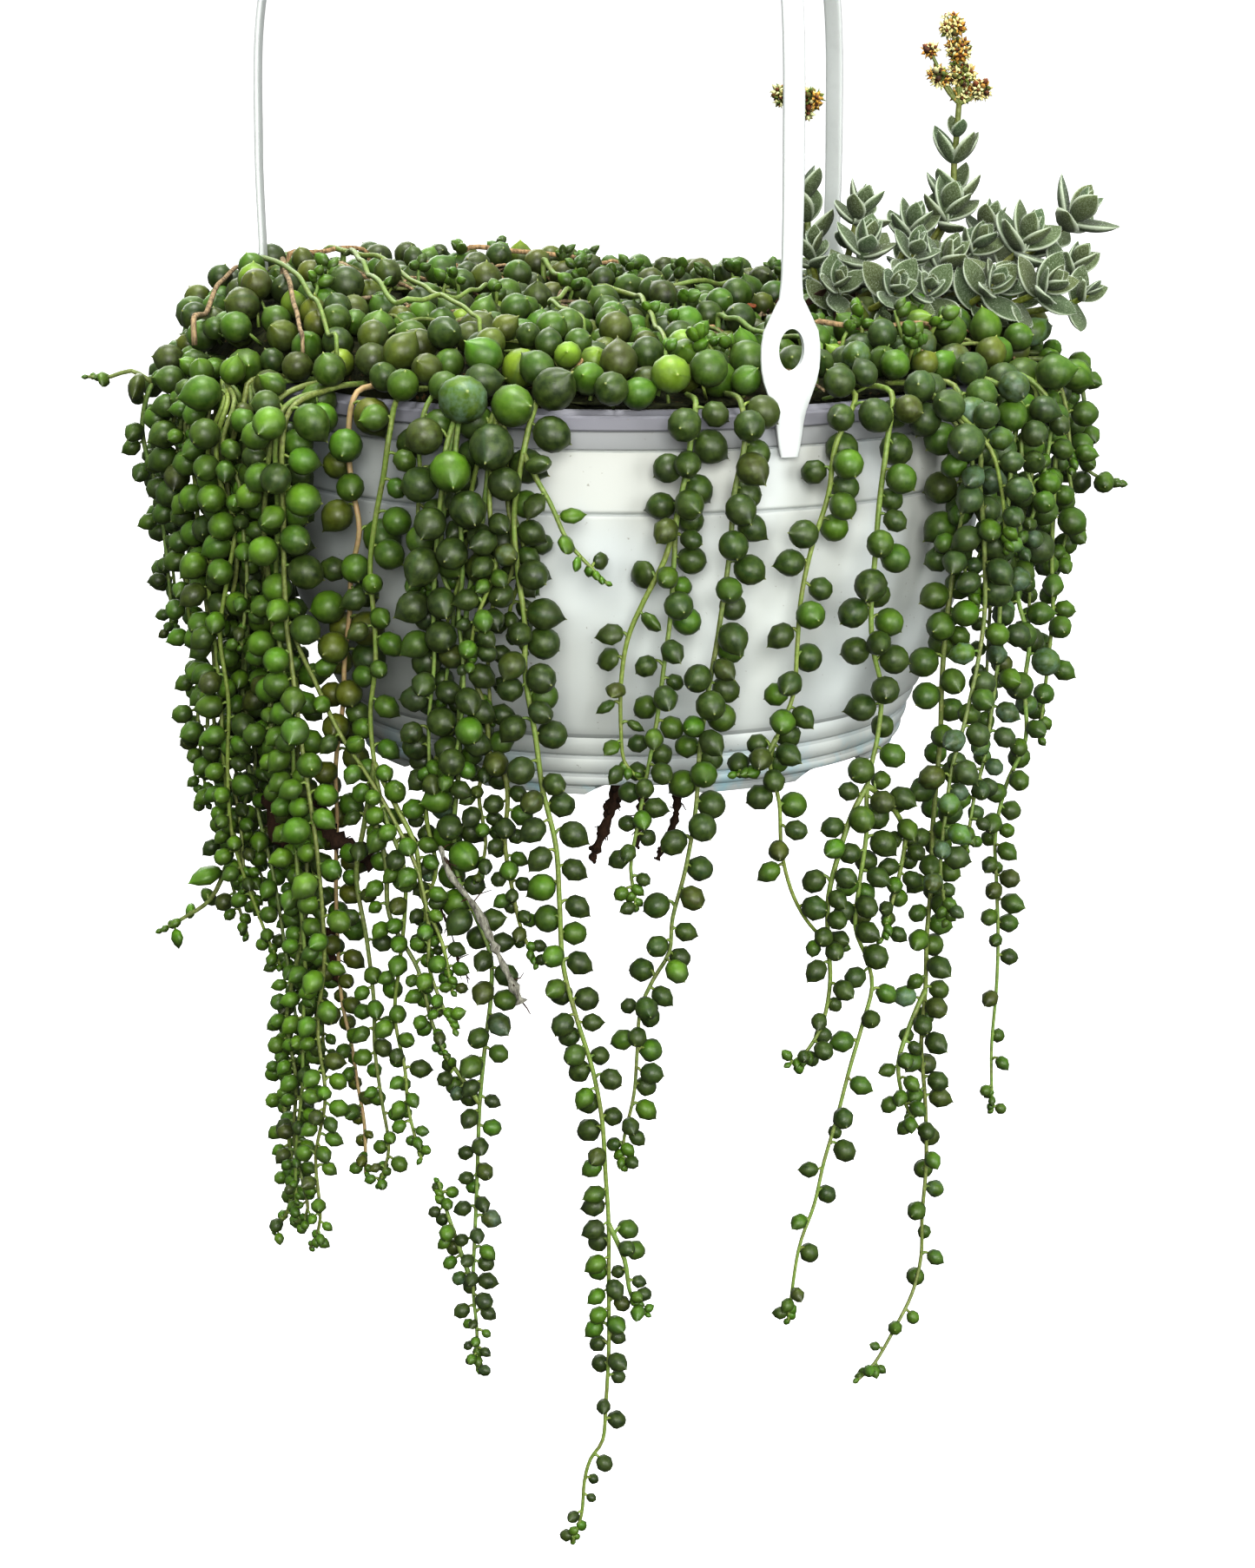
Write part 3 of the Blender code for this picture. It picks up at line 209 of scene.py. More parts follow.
# Each vine: root bearing, where it hangs, thickest and thinnest pearl radius, then the route of its
# stem and of any branch, as places across and up from the rim. A branch starts on its stem.
VINES = [
    (-104, at_depth(15), (4.4, 3.6),
     [[(-157, -10), (-160, -29), (-160, -47), (-160, -65), (-159, -80)]]),
    (-87, at_depth(-25), (3.6, 2.8),
     [[(-158, 3), (-162, -10), (-161, -21), (-158, -33), (-156, -50), (-155, -68), (-154, -84)],
      [(-158, 3), (-165, 7), (-172, 5), (-180, 5)]]),
    (-80, at_depth(-50), (5.4, 4.2),
     [[(-143, 2), (-146, -11), (-145, -24), (-141, -37), (-138, -52)]]),
    (-72, at_depth(-66), (5.7, 3.0),
     [[(-134, 4), (-136, -14), (-135, -37), (-137, -60), (-135, -84), (-138, -106), (-135, -130),
       (-133, -152), (-127, -177)],
      [(-133, -152), (-139, -164), (-149, -171), (-156, -175)]]),
    (-65, at_depth(-86), (6.0, 2.8),
     [[(-125, 4), (-129, -8), (-128, -22), (-124, -35), (-127, -52), (-130, -70), (-128, -92),
       (-129, -114), (-128, -138), (-120, -165), (-114, -181)]]),
    (-59, around(141), (6.1, 2.7),
     [[(-119, 2), (-123, -19), (-121, -47), (-124, -77), (-127, -104), (-122, -131), (-116, -152),
       (-112, -177), (-109, -197), (-106, -220)],
      [(-109, -197), (-113, -211), (-115, -226), (-113, -242), (-112, -257), (-115, -270),
       (-121, -280)]]),
    (-54, around(135), (3.8, 3.4),
     [[(-109, 3), (-109, -12), (-107, -26), (-106, -39), (-105, -46)]]),
    (-49, around(144), (4.0, 3.0),
     [[(-110, 3), (-114, -18), (-115, -40), (-114, -51), (-108, -61), (-103, -72), (-98, -81),
       (-90, -96), (-81, -108), (-72, -122), (-65, -137), (-62, -153), (-62, -167), (-58, -179),
       (-54, -187)]]),
    (-44, around(152), (6.1, 2.6),
     [[(-104, 2), (-106, -31), (-106, -59), (-104, -80), (-102, -99), (-99, -121), (-97, -140),
       (-96, -168), (-99, -192), (-97, -215), (-101, -237), (-100, -258), (-104, -270)]]),
    (-39, around(134), (6.4, 2.8),
     [[(-86, -5), (-85, -20), (-83, -33), (-86, -47), (-87, -61), (-89, -75), (-90, -90), (-93, -110),
       (-93, -127), (-94, -148), (-94, -168), (-93, -189), (-90, -203), (-88, -217), (-86, -230),
       (-86, -247)]]),
    (-32, around(140), (4.8, 2.8),
     [[(-72, -2), (-74, -14), (-77, -28), (-79, -43), (-78, -61), (-78, -74), (-80, -89), (-79, -105),
       (-76, -121), (-70, -137), (-70, -152), (-72, -169), (-74, -187), (-71, -204), (-70, -218),
       (-66, -234)],
      [(-79, -105), (-83, -126), (-86, -143), (-83, -163), (-81, -183), (-81, -200), (-79, -217),
       (-77, -233), (-81, -247)],
      [(-79, -105), (-72, -118), (-66, -130), (-64, -146), (-58, -160), (-55, -176)],
      [(-79, -105), (-80, -120), (-76, -136), (-75, -154), (-66, -170), (-62, -186), (-58, -196)]]),
    (-27, around(134), (4.6, 4.2),
     [[(-63, -2), (-63, -15), (-64, -28), (-63, -41), (-61, -50)]]),
    (-22, around(141), (7.4, 4.0),
     [[(-54, -3), (-56, -18), (-58, -38), (-59, -54), (-59, -70), (-61, -89), (-61, -109)]]),
    (-17, around(134), (9.6, 2.8),
     [[(-41, -5), (-43, -21), (-46, -38), (-49, -54), (-50, -70), (-52, -89), (-52, -103), (-54, -123),
       (-53, -140), (-48, -151), (-43, -164), (-43, -178), (-45, -194), (-47, -214), (-48, -235),
       (-49, -256), (-50, -277), (-49, -292), (-49, -307)],
      [(-52, -89), (-44, -97), (-38, -105), (-37, -114), (-38, -127), (-36, -141), (-33, -155),
       (-28, -166)],
      [(-52, -89), (-60, -104), (-63, -120), (-60, -138), (-64, -152), (-62, -168)],
      [(-50, -70), (-44, -84), (-43, -98), (-46, -112), (-44, -128), (-47, -140)],
      [(-47, -214), (-53, -206), (-60, -197)],
      [(-50, -277), (-54, -266), (-58, -254), (-61, -243)]]),
    (-12, around(138), (6.3, 2.8),
     [[(-31, -5), (-34, -24), (-33, -41), (-31, -57), (-31, -73), (-28, -92), (-26, -108), (-22, -126),
       (-21, -144), (-20, -164), (-16, -181), (-11, -198), (-8, -215), (-7, -232), (-6, -250),
       (-6, -271), (-6, -292), (-7, -313), (-8, -325), (-12, -332), (-14, -340), (-15, -352),
       (-18, -362)],
      [(-31, -5), (-27, -13), (-23, -20), (-18, -31), (-12, -38), (-6, -44)],
      [(-6, -250), (-1, -262), (1, -274), (6, -281)]]),
    (9, around(133), (5.4, 3.0),
     [[(19, 0), (18, -9), (15, -24), (14, -38), (13, -55), (11, -71), (9, -87), (6, -104), (3, -121),
       (1, -134), (3, -147)],
      [(15, -24), (11, -38), (5, -50), (0, -62), (-2, -76), (-2, -90), (-1, -100), (4, -106)]]),
    (15, around(134), (5.4, 3.4),
     [[(35, -3), (32, -18), (31, -34), (29, -50), (27, -64), (24, -82), (22, -98), (21, -115),
       (18, -134), (14, -150), (13, -161), (8, -170), (4, -180), (3, -194), (2, -208), (-1, -222),
       (-2, -232)]]),
    (32, around(134), (5.2, 3.8),
     [[(63, -5), (61, -20), (56, -36), (53, -51), (52, -66), (51, -81), (46, -94), (44, -103),
       (47, -115), (48, -131), (52, -146), (59, -158), (68, -165)],
      [(46, -94), (40, -104), (33, -105)]]),
    (38, around(138), (5.2, 3.2),
     [[(79, -5), (77, -23), (76, -39), (75, -56), (76, -69), (79, -82), (78, -97), (75, -112),
       (75, -128), (73, -144), (72, -158), (76, -169), (78, -179), (75, -191), (71, -205), (67, -221),
       (63, -235), (60, -249), (55, -264), (52, -288)],
      [(75, -112), (70, -121), (66, -133), (63, -146), (63, -160), (64, -174), (62, -187), (57, -196),
       (51, -200)],
      [(75, -112), (83, -120), (88, -130), (87, -141), (84, -153), (81, -164)]]),
    (44, around(150), (5.6, 3.6),
     [[(107, -5), (109, -20), (111, -37), (112, -59), (110, -76), (106, -94), (102, -108), (100, -124),
       (99, -141), (102, -158)]]),
    (50, around(136), (5.6, 2.8),
     [[(103, -3), (105, -19), (105, -35), (103, -49), (101, -66), (100, -84), (100, -102), (99, -117),
       (98, -134), (98, -151), (97, -168), (97, -186), (96, -204), (98, -225), (99, -247), (98, -265),
       (98, -280), (95, -292), (89, -302), (82, -312), (76, -316)],
      [(97, -186), (92, -196), (88, -208), (90, -221), (96, -234)]]),
    (58, around(141), (6.6, 3.2),
     [[(124, 0), (123, -15), (122, -30), (121, -47), (120, -64), (120, -81), (118, -97), (116, -111),
       (112, -125), (110, -141)]]),
    (66, at_depth(-58), (6.6, 2.7),
     [[(134, 2), (132, -13), (130, -29), (127, -47), (128, -64), (132, -78), (131, -93), (132, -111),
       (126, -127), (123, -144), (124, -162), (125, -180), (125, -198), (124, -220), (125, -242)]]),
    (75, at_depth(-34), (5.4, 3.6),
     [[(142, 0), (142, -25), (142, -54), (143, -72), (142, -90), (141, -103), (140, -117)]]),
    (83, at_depth(-10), (5.0, 4.4),
     [[(148, -1), (149, -22), (152, -40), (150, -52), (147, -62)]]),
    (91, at_depth(10), (4.8, 3.8),
     [[(156, -1), (158, -16), (157, -28), (164, -34), (171, -36)]]),
]

# Vines that hang round the back: root bearing, reach from the axis and length below the rim
BACK_VINES = [
    (102, 147, 92), (114, 146, 128), (126, 144, 74), (134, 143, 104), (153, 142, 150), (164, 144, 86),
    (176, 142, 118), (188, 144, 162), (200, 142, 78), (212, 144, 136), (225, 147, 100), (241, 152, 146),
]

# How each vine is dressed: step between pearls at the top and at the tip in pearl radii, its tone, and the
# bare length of stem before its first pearl. A vine that isn't listed takes the default.
DRESS_DEFAULT = (1.15, 1.45, "mid", 15.0)
DRESS = {
    1: (1.3, 1.6, "mid", 15.0),
    2: (1.5, 1.9, "mid", 15.0),
    3: (1.0, 1.3, "mid", 12.0),
    4: (1.0, 1.5, "bright", 12.0),
    5: (1.0, 1.5, "bright", 12.0),
    6: (1.0, 1.5, "bright", 14.0),
    7: (2.4, 2.4, "lime", 20.0),
    8: (2.6, 1.9, "fresh", 22.0),
    9: (1.0, 1.45, "bright", 34.0),
    10: (0.9, 1.35, "olive", 20.0),
    11: (2.1, 1.35, "fresh", 16.0),
    12: (1.7, 1.5, "mid", 14.0),
    13: (0.85, 1.0, "painted_shade", 20.0),
    14: (0.85, 1.4, "painted_shade", 18.0),
    15: (1.0, 1.5, "painted_shade", 14.0),
    16: (1.0, 1.3, "deep", 18.0),
    17: (1.0, 1.3, "deep", 18.0),
    18: (1.35, 1.4, "deep", 20.0),
    19: (1.25, 1.35, "deep", 18.0),
    20: (0.9, 1.5, "blue", 14.0),
    21: (1.1, 1.35, "mid", 18.0),
    22: (0.85, 1.45, "blue", 14.0),
    23: (0.95, 1.6, "mid", 14.0),
    24: (1.6, 1.8, "fresh", 14.0),
    25: (1.1, 1.2, "fresh", 14.0),
    26: (1.2, 1.3, "fresh", 14.0),
}
# Vines whose stem has dried brown, and branches that carry thin pointed leaves, as (vine, branch)
DRY_VINES = {10}
LEAFY = {(2, 1), (4, 1), (15, 1), (16, 1)}
# Vines whose pearls press against one another
PACKED = {13, 14, 15, 20, 22}
# Share of dusty pearls on each vine that has them
DUSTY = {13: 0.08, 14: 0.05, 20: 0.2, 21: 0.06, 22: 0.3, 23: 0.12}

# How fast pearls shrink along a vine, where it isn't the usual FALL
FALL = 1.25
FALLS = {13: 1.1, 14: 2.0, 15: 1.6, 22: 1.6, 23: 1.5}

# Share of a vine's length after which its pearls stand far apart
SPARSE = {15: 0.84, 18: 0.8, 19: 0.66, 21: 0.7, 23: 0.76, 26: 0.9}

# Fellow strands that fill a vine out: shift to the right, shift back, length share and size share
FELLOWS = {
    1: [(3, 8, 1.0, 0.9)],
    3: [(-4, 9, 1.0, 0.9), (5, -6, 1.0, 0.9)],
    4: [(-5, 8, 0.85, 0.95), (5, -5, 0.55, 0.95), (-9, 2, 0.4, 0.9), (4, 22, 0.9, 0.95)],
    5: [(-5, 9, 0.9, 0.95), (5, -6, 0.6, 0.95), (3, 22, 0.95, 0.9), (-4, 36, 0.8, 0.9),
        (6, 46, 0.9, 0.9)],
    6: [(5, 9, 0.9, 0.95), (-6, -6, 0.75, 0.95), (-2, 18, 0.6, 0.9), (4, 30, 0.85, 0.9),
        (-5, 42, 0.7, 0.9)],
    9: [(-6, 12, 0.95, 0.95), (-9, 18, 1.0, 0.9), (-5, 28, 0.8, 0.9), (-11, 38, 0.75, 0.9),
        (-8, 50, 0.7, 0.9)],
    13: [(7, -3, 1.0, 1.0), (3, 7, 0.9, 0.9)],
    14: [(9, -4, 0.36, 1.0), (15, 1, 0.32, 0.95), (-6, 5, 0.34, 0.9), (4, -11, 0.34, 1.0)],
    20: [(7, -5, 0.45, 1.0), (-6, 4, 0.5, 1.0)],
    21: [(8, -3, 0.25, 1.0)],
    22: [(6, -4, 0.5, 1.0), (-7, 5, 0.5, 0.9)],
    23: [(6, -3, 0.32, 1.0), (-6, 9, 0.36, 0.9)],
    24: [(5, -5, 0.5, 1.0)],
    25: [(-5, 5, 1.0, 0.9)],
}

# Tones that some pearls take in place of their vine's, and tones of the mat's pearls, as shares of a roll
STRING_TONES = [(0.14, "mid"), (0.28, "fresh"), (0.36, "deep"), (0.43, "dusk")]
MAT_TONES = [(0.05, "lime"), (0.27, "fresh"), (0.40, "olive"), (0.55, "deep"), (0.74, "dusk")]

# Dead wood caught in the strings, as its vine, tone, route, and radius at the start and at the end
DEAD_WOOD = [
    (11, "bark", [(-58, -129, -128), (-55, -130, -137), (-47, -133, -147), (-41, -136, -159),
                  (-33, -138, -176)], 0.8, 1.6),
    (11, "brown", [(-60, -120, -148), (-55, -122, -160), (-53, -123, -170)], 0.5, 0.3),
    (6, "brown", [(-116, -76, -124), (-114, -78, -134), (-108, -82, -142)], 3.0, 4.2),
    (9, "brown", [(-103, -94, -120), (-97, -98, -131), (-88, -100, -137), (-80, -100, -140)], 2.6, 4.6),
    (9, "brown", [(-97, -92, -166), (-98, -94, -174), (-93, -94, -184)], 2.6, 1.8),
]

# Stems that lie over the mat, as places seen from above, and whether they have dried brown
RUNNERS = [
    ([(-112, 58), (-96, 30), (-81, 7), (-63, -43), (-46, -86)], False),
    ([(-126, 13), (-107, -36), (-90, -92)], False),
    ([(-100, 43), (-84, -27), (-70, -62), (-52, -30), (-46, 10)], False),
    ([(-117, 25), (-107, 35), (-92, 52)], True),
    ([(-140, -50), (-139, -30), (-134, 25)], True),
    ([(-10, 36), (2, 20), (8, -40), (12, -84)], False),
    ([(-116, -4), (-109, -45), (-102, -78)], True),
    ([(30, -30), (44, -60), (60, -88)], False),
    ([(-30, 60), (-20, 20), (-26, -20), (-14, -60)], False),
    ([(40, 70), (22, 44), (-4, 52)], False),
    ([(60, -50), (78, -58), (98, -48)], True),
    ([(-60, 90), (-30, 80), (-4, 96)], True),
]

# Hollows in the mat where the thatch shows: place seen from above and radius
HOLLOWS = [(-79, 6, 16), (-60, 62, 15), (-112, 24, 8), (-50, -52, 8), (-4, -84, 7), (-24, 24, 7),
           (30, 66, 9), (18, -30, 6)]

# Each crassula plant: place in the soil, and its rosettes as middle, leaf length and pairs of leaves
CRASSULAS = [
    ((68, 8), [((80, 25, 56), 15, 5), ((80, 0, 45), 16, 5), ((88, -26, 33), 15, 5),
               ((64, 22, 42), 13, 4), ((70, -14, 34), 14, 4), ((96, -6, 44), 14, 4),
               ((76, 14, 30), 13, 3)]),
    ((84, 22), [((111, 34, 55), 17, 5), ((107, -3, 40), 17, 5), ((98, 26, 50), 15, 5),
                ((118, 10, 45), 15, 4), ((100, -20, 32), 15, 4), ((110, 20, 34), 14, 3),
                ((124, -12, 34), 15, 4)]),
    ((99, 12), [((154, 26, 54), 18, 5), ((134, 4, 47), 18, 5), ((138, -24, 34), 16, 5),
                ((126, 36, 50), 15, 4), ((150, 4, 38), 16, 4), ((120, -22, 34), 15, 4),
                ((140, 30, 42), 15, 4), ((152, -12, 30), 14, 3)]),
]
# Each flower stalk: place in the soil, bends of the stalk, heights of its leaf pairs, and the clusters of
# its head as places across, back and up from its top, with their radius
FLOWER_STALKS = [
    ((70, 26), [(64, 34, 34), (63, 40, 52), (60, 40, 72), (59, 40, 88)], (45, 53, 61, 66),
     [((-5.5, 0, 6.5), 4.2), ((-0.5, -1, 8.0), 4.0), ((5.0, 0, 5.0), 4.2), ((2.8, 2, 1.0), 3.4)]),
    ((92, 30), [(112, 42, 52), (114, 42, 72), (115, 41, 92)], (57, 61, 71, 74, 81),
     [((-2.7, 0, 25.5), 4.8), ((-1.0, -1, 17.5), 5.0), ((-10.5, 1, 18.0), 3.0), ((0.5, -1, 9.5), 5.2),
      ((-7.0, 0, 9.0), 4.3), ((6.8, 0, 4.5), 4.6), ((1.5, 2, 3.0), 4.0)]),
]

# Roots that hang from the front drain hole: thickness at the top, and route
DRAIN_ROOTS = [
    (3.3, [(-1.5, -60, -112), (-2, -60, -120), (-4, -60, -130), (-8, -60, -142), (-12, -60, -152)]),
    (2.2, [(0.5, -60, -112), (2, -60, -120), (5, -60, -128), (4, -60, -137), (3, -60, -147)]),
    (2.2, [(0, -60, -112), (4, -60, -119.5), (15, -60, -124), (16, -60, -137), (10, -60, -152)]),
]
ROOT_CRUMBS = 34
ROOTLETS = 9
ROOT_BOTTOM = -152.0

# Camera, as the photograph was taken, and how bright the picture is
CAMERA_BACK = 1010.0
CAMERA_UP = 118.0
CAMERA_PITCH = 14.4
CAMERA_LENS = 67.77
CAMERA_SENSOR = 36.0
EXPOSURE = 0.18
GAMMA = 0.86

# Floor's drop below the rim, and half its width in metres. The sky's light as stops of height and colour.
FLOOR_DROP = 1150.0
FLOOR_SIZE = 30.0
SKY = [(0.15, (0.08, 0.08, 0.07)), (0.46, (0.24, 0.245, 0.25)), (1.0, (0.92, 0.93, 0.94))]
# Lights: name, place in metres, size, power and colour
LIGHTS = [
    ("key", (0.05, -1.75, 0.15), 0.7, 32.0, (1.0, 0.99, 0.95)),
    ("top", (-0.1, -0.1, 1.1), 0.6, 25.0, (1.0, 1.0, 0.97)),
    ("fill", (1.3, -1.5, -0.1), 1.2, 29.0, (1.0, 1.0, 0.98)),
    ("back", (-0.5, 1.7, 0.4), 1.2, 16.0, (1.0, 1.0, 1.0)),
]


def linear(red, green, blue):
    """A colour of 0 to 255 screen values as the linear values that shaders take."""
    values = np.array([red, green, blue]) / 255.0
    return np.where(values <= 0.04045, values / 12.92, ((values + 0.055) / 1.055) ** 2.4)


SCREEN_TONES = {
    "lime": (112, 138, 32),
    "bright": (80, 120, 18),
    "fresh": (67, 105, 11),
    "mid": (58, 88, 10),
    "deep": (38, 60, 9),
    "olive": (80, 88, 12),
    "painted_shade": (31, 50, 7),
    "dusk": (57, 66, 16),
    "blue": (48, 72, 33),
    "stem": (99, 122, 53),
    "stem_old": (90, 104, 50),
    "dry": (166, 143, 111),
    "brown": (62, 42, 30),
    "bark": (152, 144, 126),
    "wool": (76, 90, 58),
    "cream": (236, 230, 168),
    "gold": (196, 152, 70),
    "rust": (132, 74, 40),
}
TONES = {name: linear(*color) for name, color in SCREEN_TONES.items()}


def show(name, data):
    """A new object in the scene."""
    obj = bpy.data.objects.new(name, data)
    bpy.context.scene.collection.objects.link(obj)
    return obj


class Heap:
    """Collects solids for one mesh: points in millimetres, faces, and a colour and marks for each point."""

    def __init__(self):
        self.points, self.tints, self.marks = [], [], []
        self.faces = {4: [], 3: []}
        self.slots = {4: [], 3: []}
        self.count = 0

    def add(self, points, faces, tint, marks=None, slot=0):
        """Adds one solid. Faces is a list of arrays, each of four-sided or three-sided faces."""
        points = np.asarray(points, float)
        self.points.append(points)
        self.tints.append(np.broadcast_to(tint, (len(points), 3)))
        self.marks.append(np.zeros((len(points), 3)) if marks is None else marks)
        for group in faces:
            group = np.asarray(group)
            self.faces[group.shape[1]].append(group + self.count)
            self.slots[group.shape[1]].append(np.full(len(group), slot))
        self.count += len(points)

    def build(self, name, materials):
        """Turns the heap into an object in metres that hangs from the hook."""
        mesh = bpy.data.meshes.new(name)
        points = (np.concatenate(self.points) - (0.0, 0.0, RIM_BELOW_HOOK)) * MM
        groups = [np.concatenate(self.faces[sides]) for sides in (4, 3) if self.faces[sides]]
        slots = [np.concatenate(self.slots[sides]) for sides in (4, 3) if self.slots[sides]]
        sizes = np.concatenate([np.full(len(group), group.shape[1]) for group in groups])
        corners = np.concatenate([group.ravel() for group in groups])
        mesh.vertices.add(len(points))
        mesh.vertices.foreach_set("co", points.ravel())
        mesh.loops.add(len(corners))
        mesh.loops.foreach_set("vertex_index", corners.astype(np.int32))
        mesh.polygons.add(len(sizes))
        mesh.polygons.foreach_set("loop_start", (np.cumsum(sizes) - sizes).astype(np.int32))
        mesh.polygons.foreach_set("material_index", np.concatenate(slots).astype(np.int32))
        mesh.polygons.foreach_set("use_smooth", np.ones(len(sizes), bool))
        mesh.update(calc_edges=True)
        for label, values in (("tint", self.tints), ("mark", self.marks)):
            layer = mesh.attributes.new(label, "FLOAT_COLOR", "POINT")
            rows = np.ones((len(points), 4))
            rows[:, :3] = np.concatenate(values)
            layer.data.foreach_set("color", rows.ravel())
        for material in materials:
            mesh.materials.append(material)
        return show(name, mesh)


class Bounds:
    """The box of the CAD model, in millimetres from the rim plane, that every piece stays inside."""

    def __init__(self, low, high):
        shift = Vector((0.0, 0.0, RIM_BELOW_HOOK))
        self.low, self.high = low / MM + shift, high / MM + shift

    def room(self, centre, radius):
        """The smallest gap between a ball and the box's walls."""
        return min(min(centre[i] - self.low[i], self.high[i] - centre[i]) for i in range(3)) - radius


class Crowd:
    """Remembers balls in a grid, so that new pieces keep clear of those already placed."""

    CELL = 18.0

    def __init__(self, bounds):
        self.cells = {}
        self.bounds = bounds

    def add(self, centre, radius, owner=""):
        """Notes a ball and whose it is."""
        key = tuple(int(math.floor(value / self.CELL)) for value in centre)
        self.cells.setdefault(key, []).append((centre, radius, owner))

    def space(self, centre, radius):
        """How far a bead may still grow before it meets another, the pot or the box."""
        inside = self.bounds.room(centre, radius * BOX_MARGIN)
        return min(self.room(centre, radius), pot_gap(centre) - radius, inside)

    def room(self, centre, radius, owner="nothing"):
        """The smallest gap between a ball and those of other owners. Negative where they overlap."""
        base = [int(math.floor(value / self.CELL)) for value in centre]
        gap = self.CELL
        for i in (-1, 0, 1):
            for j in (-1, 0, 1):
                for k in (-1, 0, 1):
                    for other, size, name in self.cells.get((base[0] + i, base[1] + j, base[2] + k), ()):
                        if name != owner:
                            gap = min(gap, (centre - other).length - radius - size)
        return gap


def polar(radius, bearing, z):
    """A point from its distance to the axis, its bearing and its height."""
    turn = math.radians(bearing)
    return Vector((radius * math.sin(turn), -radius * math.cos(turn), z))


def bearing_of(point):
    """The bearing of a point, in degrees."""
    return math.degrees(math.atan2(point.x, -point.y))


def rotated(vector, degrees, axis):
    """A vector turned about an axis."""
    return Matrix.Rotation(math.radians(degrees), 3, axis) @ vector


def stray(rng, across, back, low, high):
    """A random vector: its first two parts either way of nought, its last between two heights."""
    x, y = rng.uniform(-across, across), rng.uniform(-back, back)
    return Vector((x, y, rng.uniform(low, high)))


def smooth_path(points, step):
    """Points along a smooth curve through the given ones."""
    out = []
    last = len(points) - 1
    for i in range(last):
        start, end = points[i], points[i + 1]
        before, after = points[max(i - 1, 0)], points[min(i + 2, last)]
        count = max(1, round((end - start).length / step))
        for k in range(count):
            t = k / count
            bend = 2 * before - 5 * start + 4 * end - after
            twist = 3 * start - before - 3 * end + after
            out.append(0.5 * (2 * start + (end - before) * t + bend * t * t + twist * t ** 3))
    return out + [points[-1]]


def lengths_of(path):
    """The distance along a path at each of its points."""
    out = [0.0]
    for a, b in zip(path, path[1:]):
        out.append(out[-1] + (b - a).length)
    return out


def spot_on(path, lengths, distance):
    """The point and the direction at a distance along a path."""
    index = int(np.searchsorted(lengths, distance))
    index = min(max(index, 1), len(path) - 1)
    start, end = path[index - 1], path[index]
    share = (distance - lengths[index - 1]) / max(lengths[index] - lengths[index - 1], 1e-6)
    return start + (end - start) * share, (end - start).normalized()


def ring_faces(rows, sides):
    """Faces of rows of points in rings, and of the two end points that follow the last row."""
    ring = np.arange(sides)
    after = (ring + 1) % sides
    band = np.stack([ring, after, after + sides, ring + sides], 1)
    last = (rows - 1) * sides
    root = np.stack([np.full(sides, rows * sides), after, ring], 1)
    tip = np.stack([np.full(sides, rows * sides + 1), last + ring, last + after], 1)
    return [np.concatenate([band + row * sides for row in range(rows - 1)]), np.concatenate([root, tip])]


def tube(path, radii, sides):
    """Points and faces of a closed tube along a path, with a radius at each of its points."""
    points = []
    side = None
    last = len(path) - 1
    for i, place in enumerate(path):
        ahead = (path[min(i + 1, last)] - path[max(i - 1, 0)]).normalized()
        guide = side if side else Vector((0.31, 0.17, 0.93)).cross(ahead)
        side = (guide - ahead * guide.dot(ahead)).normalized()
        across = ahead.cross(side)
        for k in range(sides):
            turn = math.tau * k / sides
            points.append(place + (side * math.cos(turn) + across * math.sin(turn)) * radii[i])
    points += [path[0], path[-1]]
    return [tuple(point) for point in points], ring_faces(len(path), sides)


def add_tube(heap, path, start_radius, end_radius, sides, tint, slot=0):
    """Adds a tapering tube to a heap."""
    radii = [start_radius + (end_radius - start_radius) * i / (len(path) - 1) for i in range(len(path))]
    points, faces = tube(path, radii, sides)
    heap.add(points, faces, tint, None, slot)


def bead_template(profile, sides):
    """A turned bead along Z from its root to its tip, with its height and a meridian line as marks."""
    points, marks = [], []
    low, high = profile[0][1], profile[-1][1]
    for radius, z in profile[1:-1]:
        for k in range(sides):
            turn = math.tau * k / sides
            points.append((radius * math.cos(turn), radius * math.sin(turn), z))
            marks.append(((z - low) / (high - low), 0.5 + 0.5 * math.cos(turn), 0.0))
    points += [(0, 0, low), (0, 0, high)]
    marks += [(0, 0.5, 0), (1, 0.5, 0)]
    return np.array(points), ring_faces(len(profile) - 2, sides), np.array(marks)


# Turned outlines as radius and height: a round pearl with a small tip, and a pointed one
PEARL_OUTLINE = [(0, -1.0), (0.34, -0.95), (0.70, -0.72), (0.94, -0.36), (1.0, 0.02), (0.93, 0.40),
                 (0.70, 0.73), (0.34, 0.95), (0.08, 1.06), (0, 1.20)]
LEMON_OUTLINE = [(0, -1.02), (0.36, -0.96), (0.72, -0.70), (0.95, -0.30), (0.99, 0.08), (0.88, 0.46),
                 (0.62, 0.80), (0.28, 1.08), (0.07, 1.27), (0, 1.44)]
# Rings kept of an outline, and sides, for large, middling and small beads
FINENESS = [(range(10), 12), ((0, 1, 2, 4, 6, 7, 8, 9), 12), ((0, 1, 2, 4, 6, 8, 9), 8)]
PEARLS = [bead_template([PEARL_OUTLINE[i] for i in rings], sides) for rings, sides in FINENESS]
LEMONS = [bead_template([LEMON_OUTLINE[i] for i in rings], sides) for rings, sides in FINENESS]
SPECK = bead_template([(0, -1.0), (0.8, -0.5), (0.85, 0.4), (0, 1.2)], 6)
# Radii above which a bead is large, and middling
LARGE_BEAD = 4.4
MIDDLING_BEAD = 2.9
# Painted shade and light on each bead: how much of its tone a bead keeps on the side turned down and
# inwards, how much it takes on its side turned out and up, and how fast the one falls to the other
PAINTED_SHADE_LOW = 0.04
PAINTED_LIGHT_HIGH = 1.15
PAINTED_SHADE_FALL = 1.6
# How far the side painted lighter faces outwards and upwards
PAINTED_LIGHT_OUT = 0.55
PAINTED_LIGHT_UP = 0.83


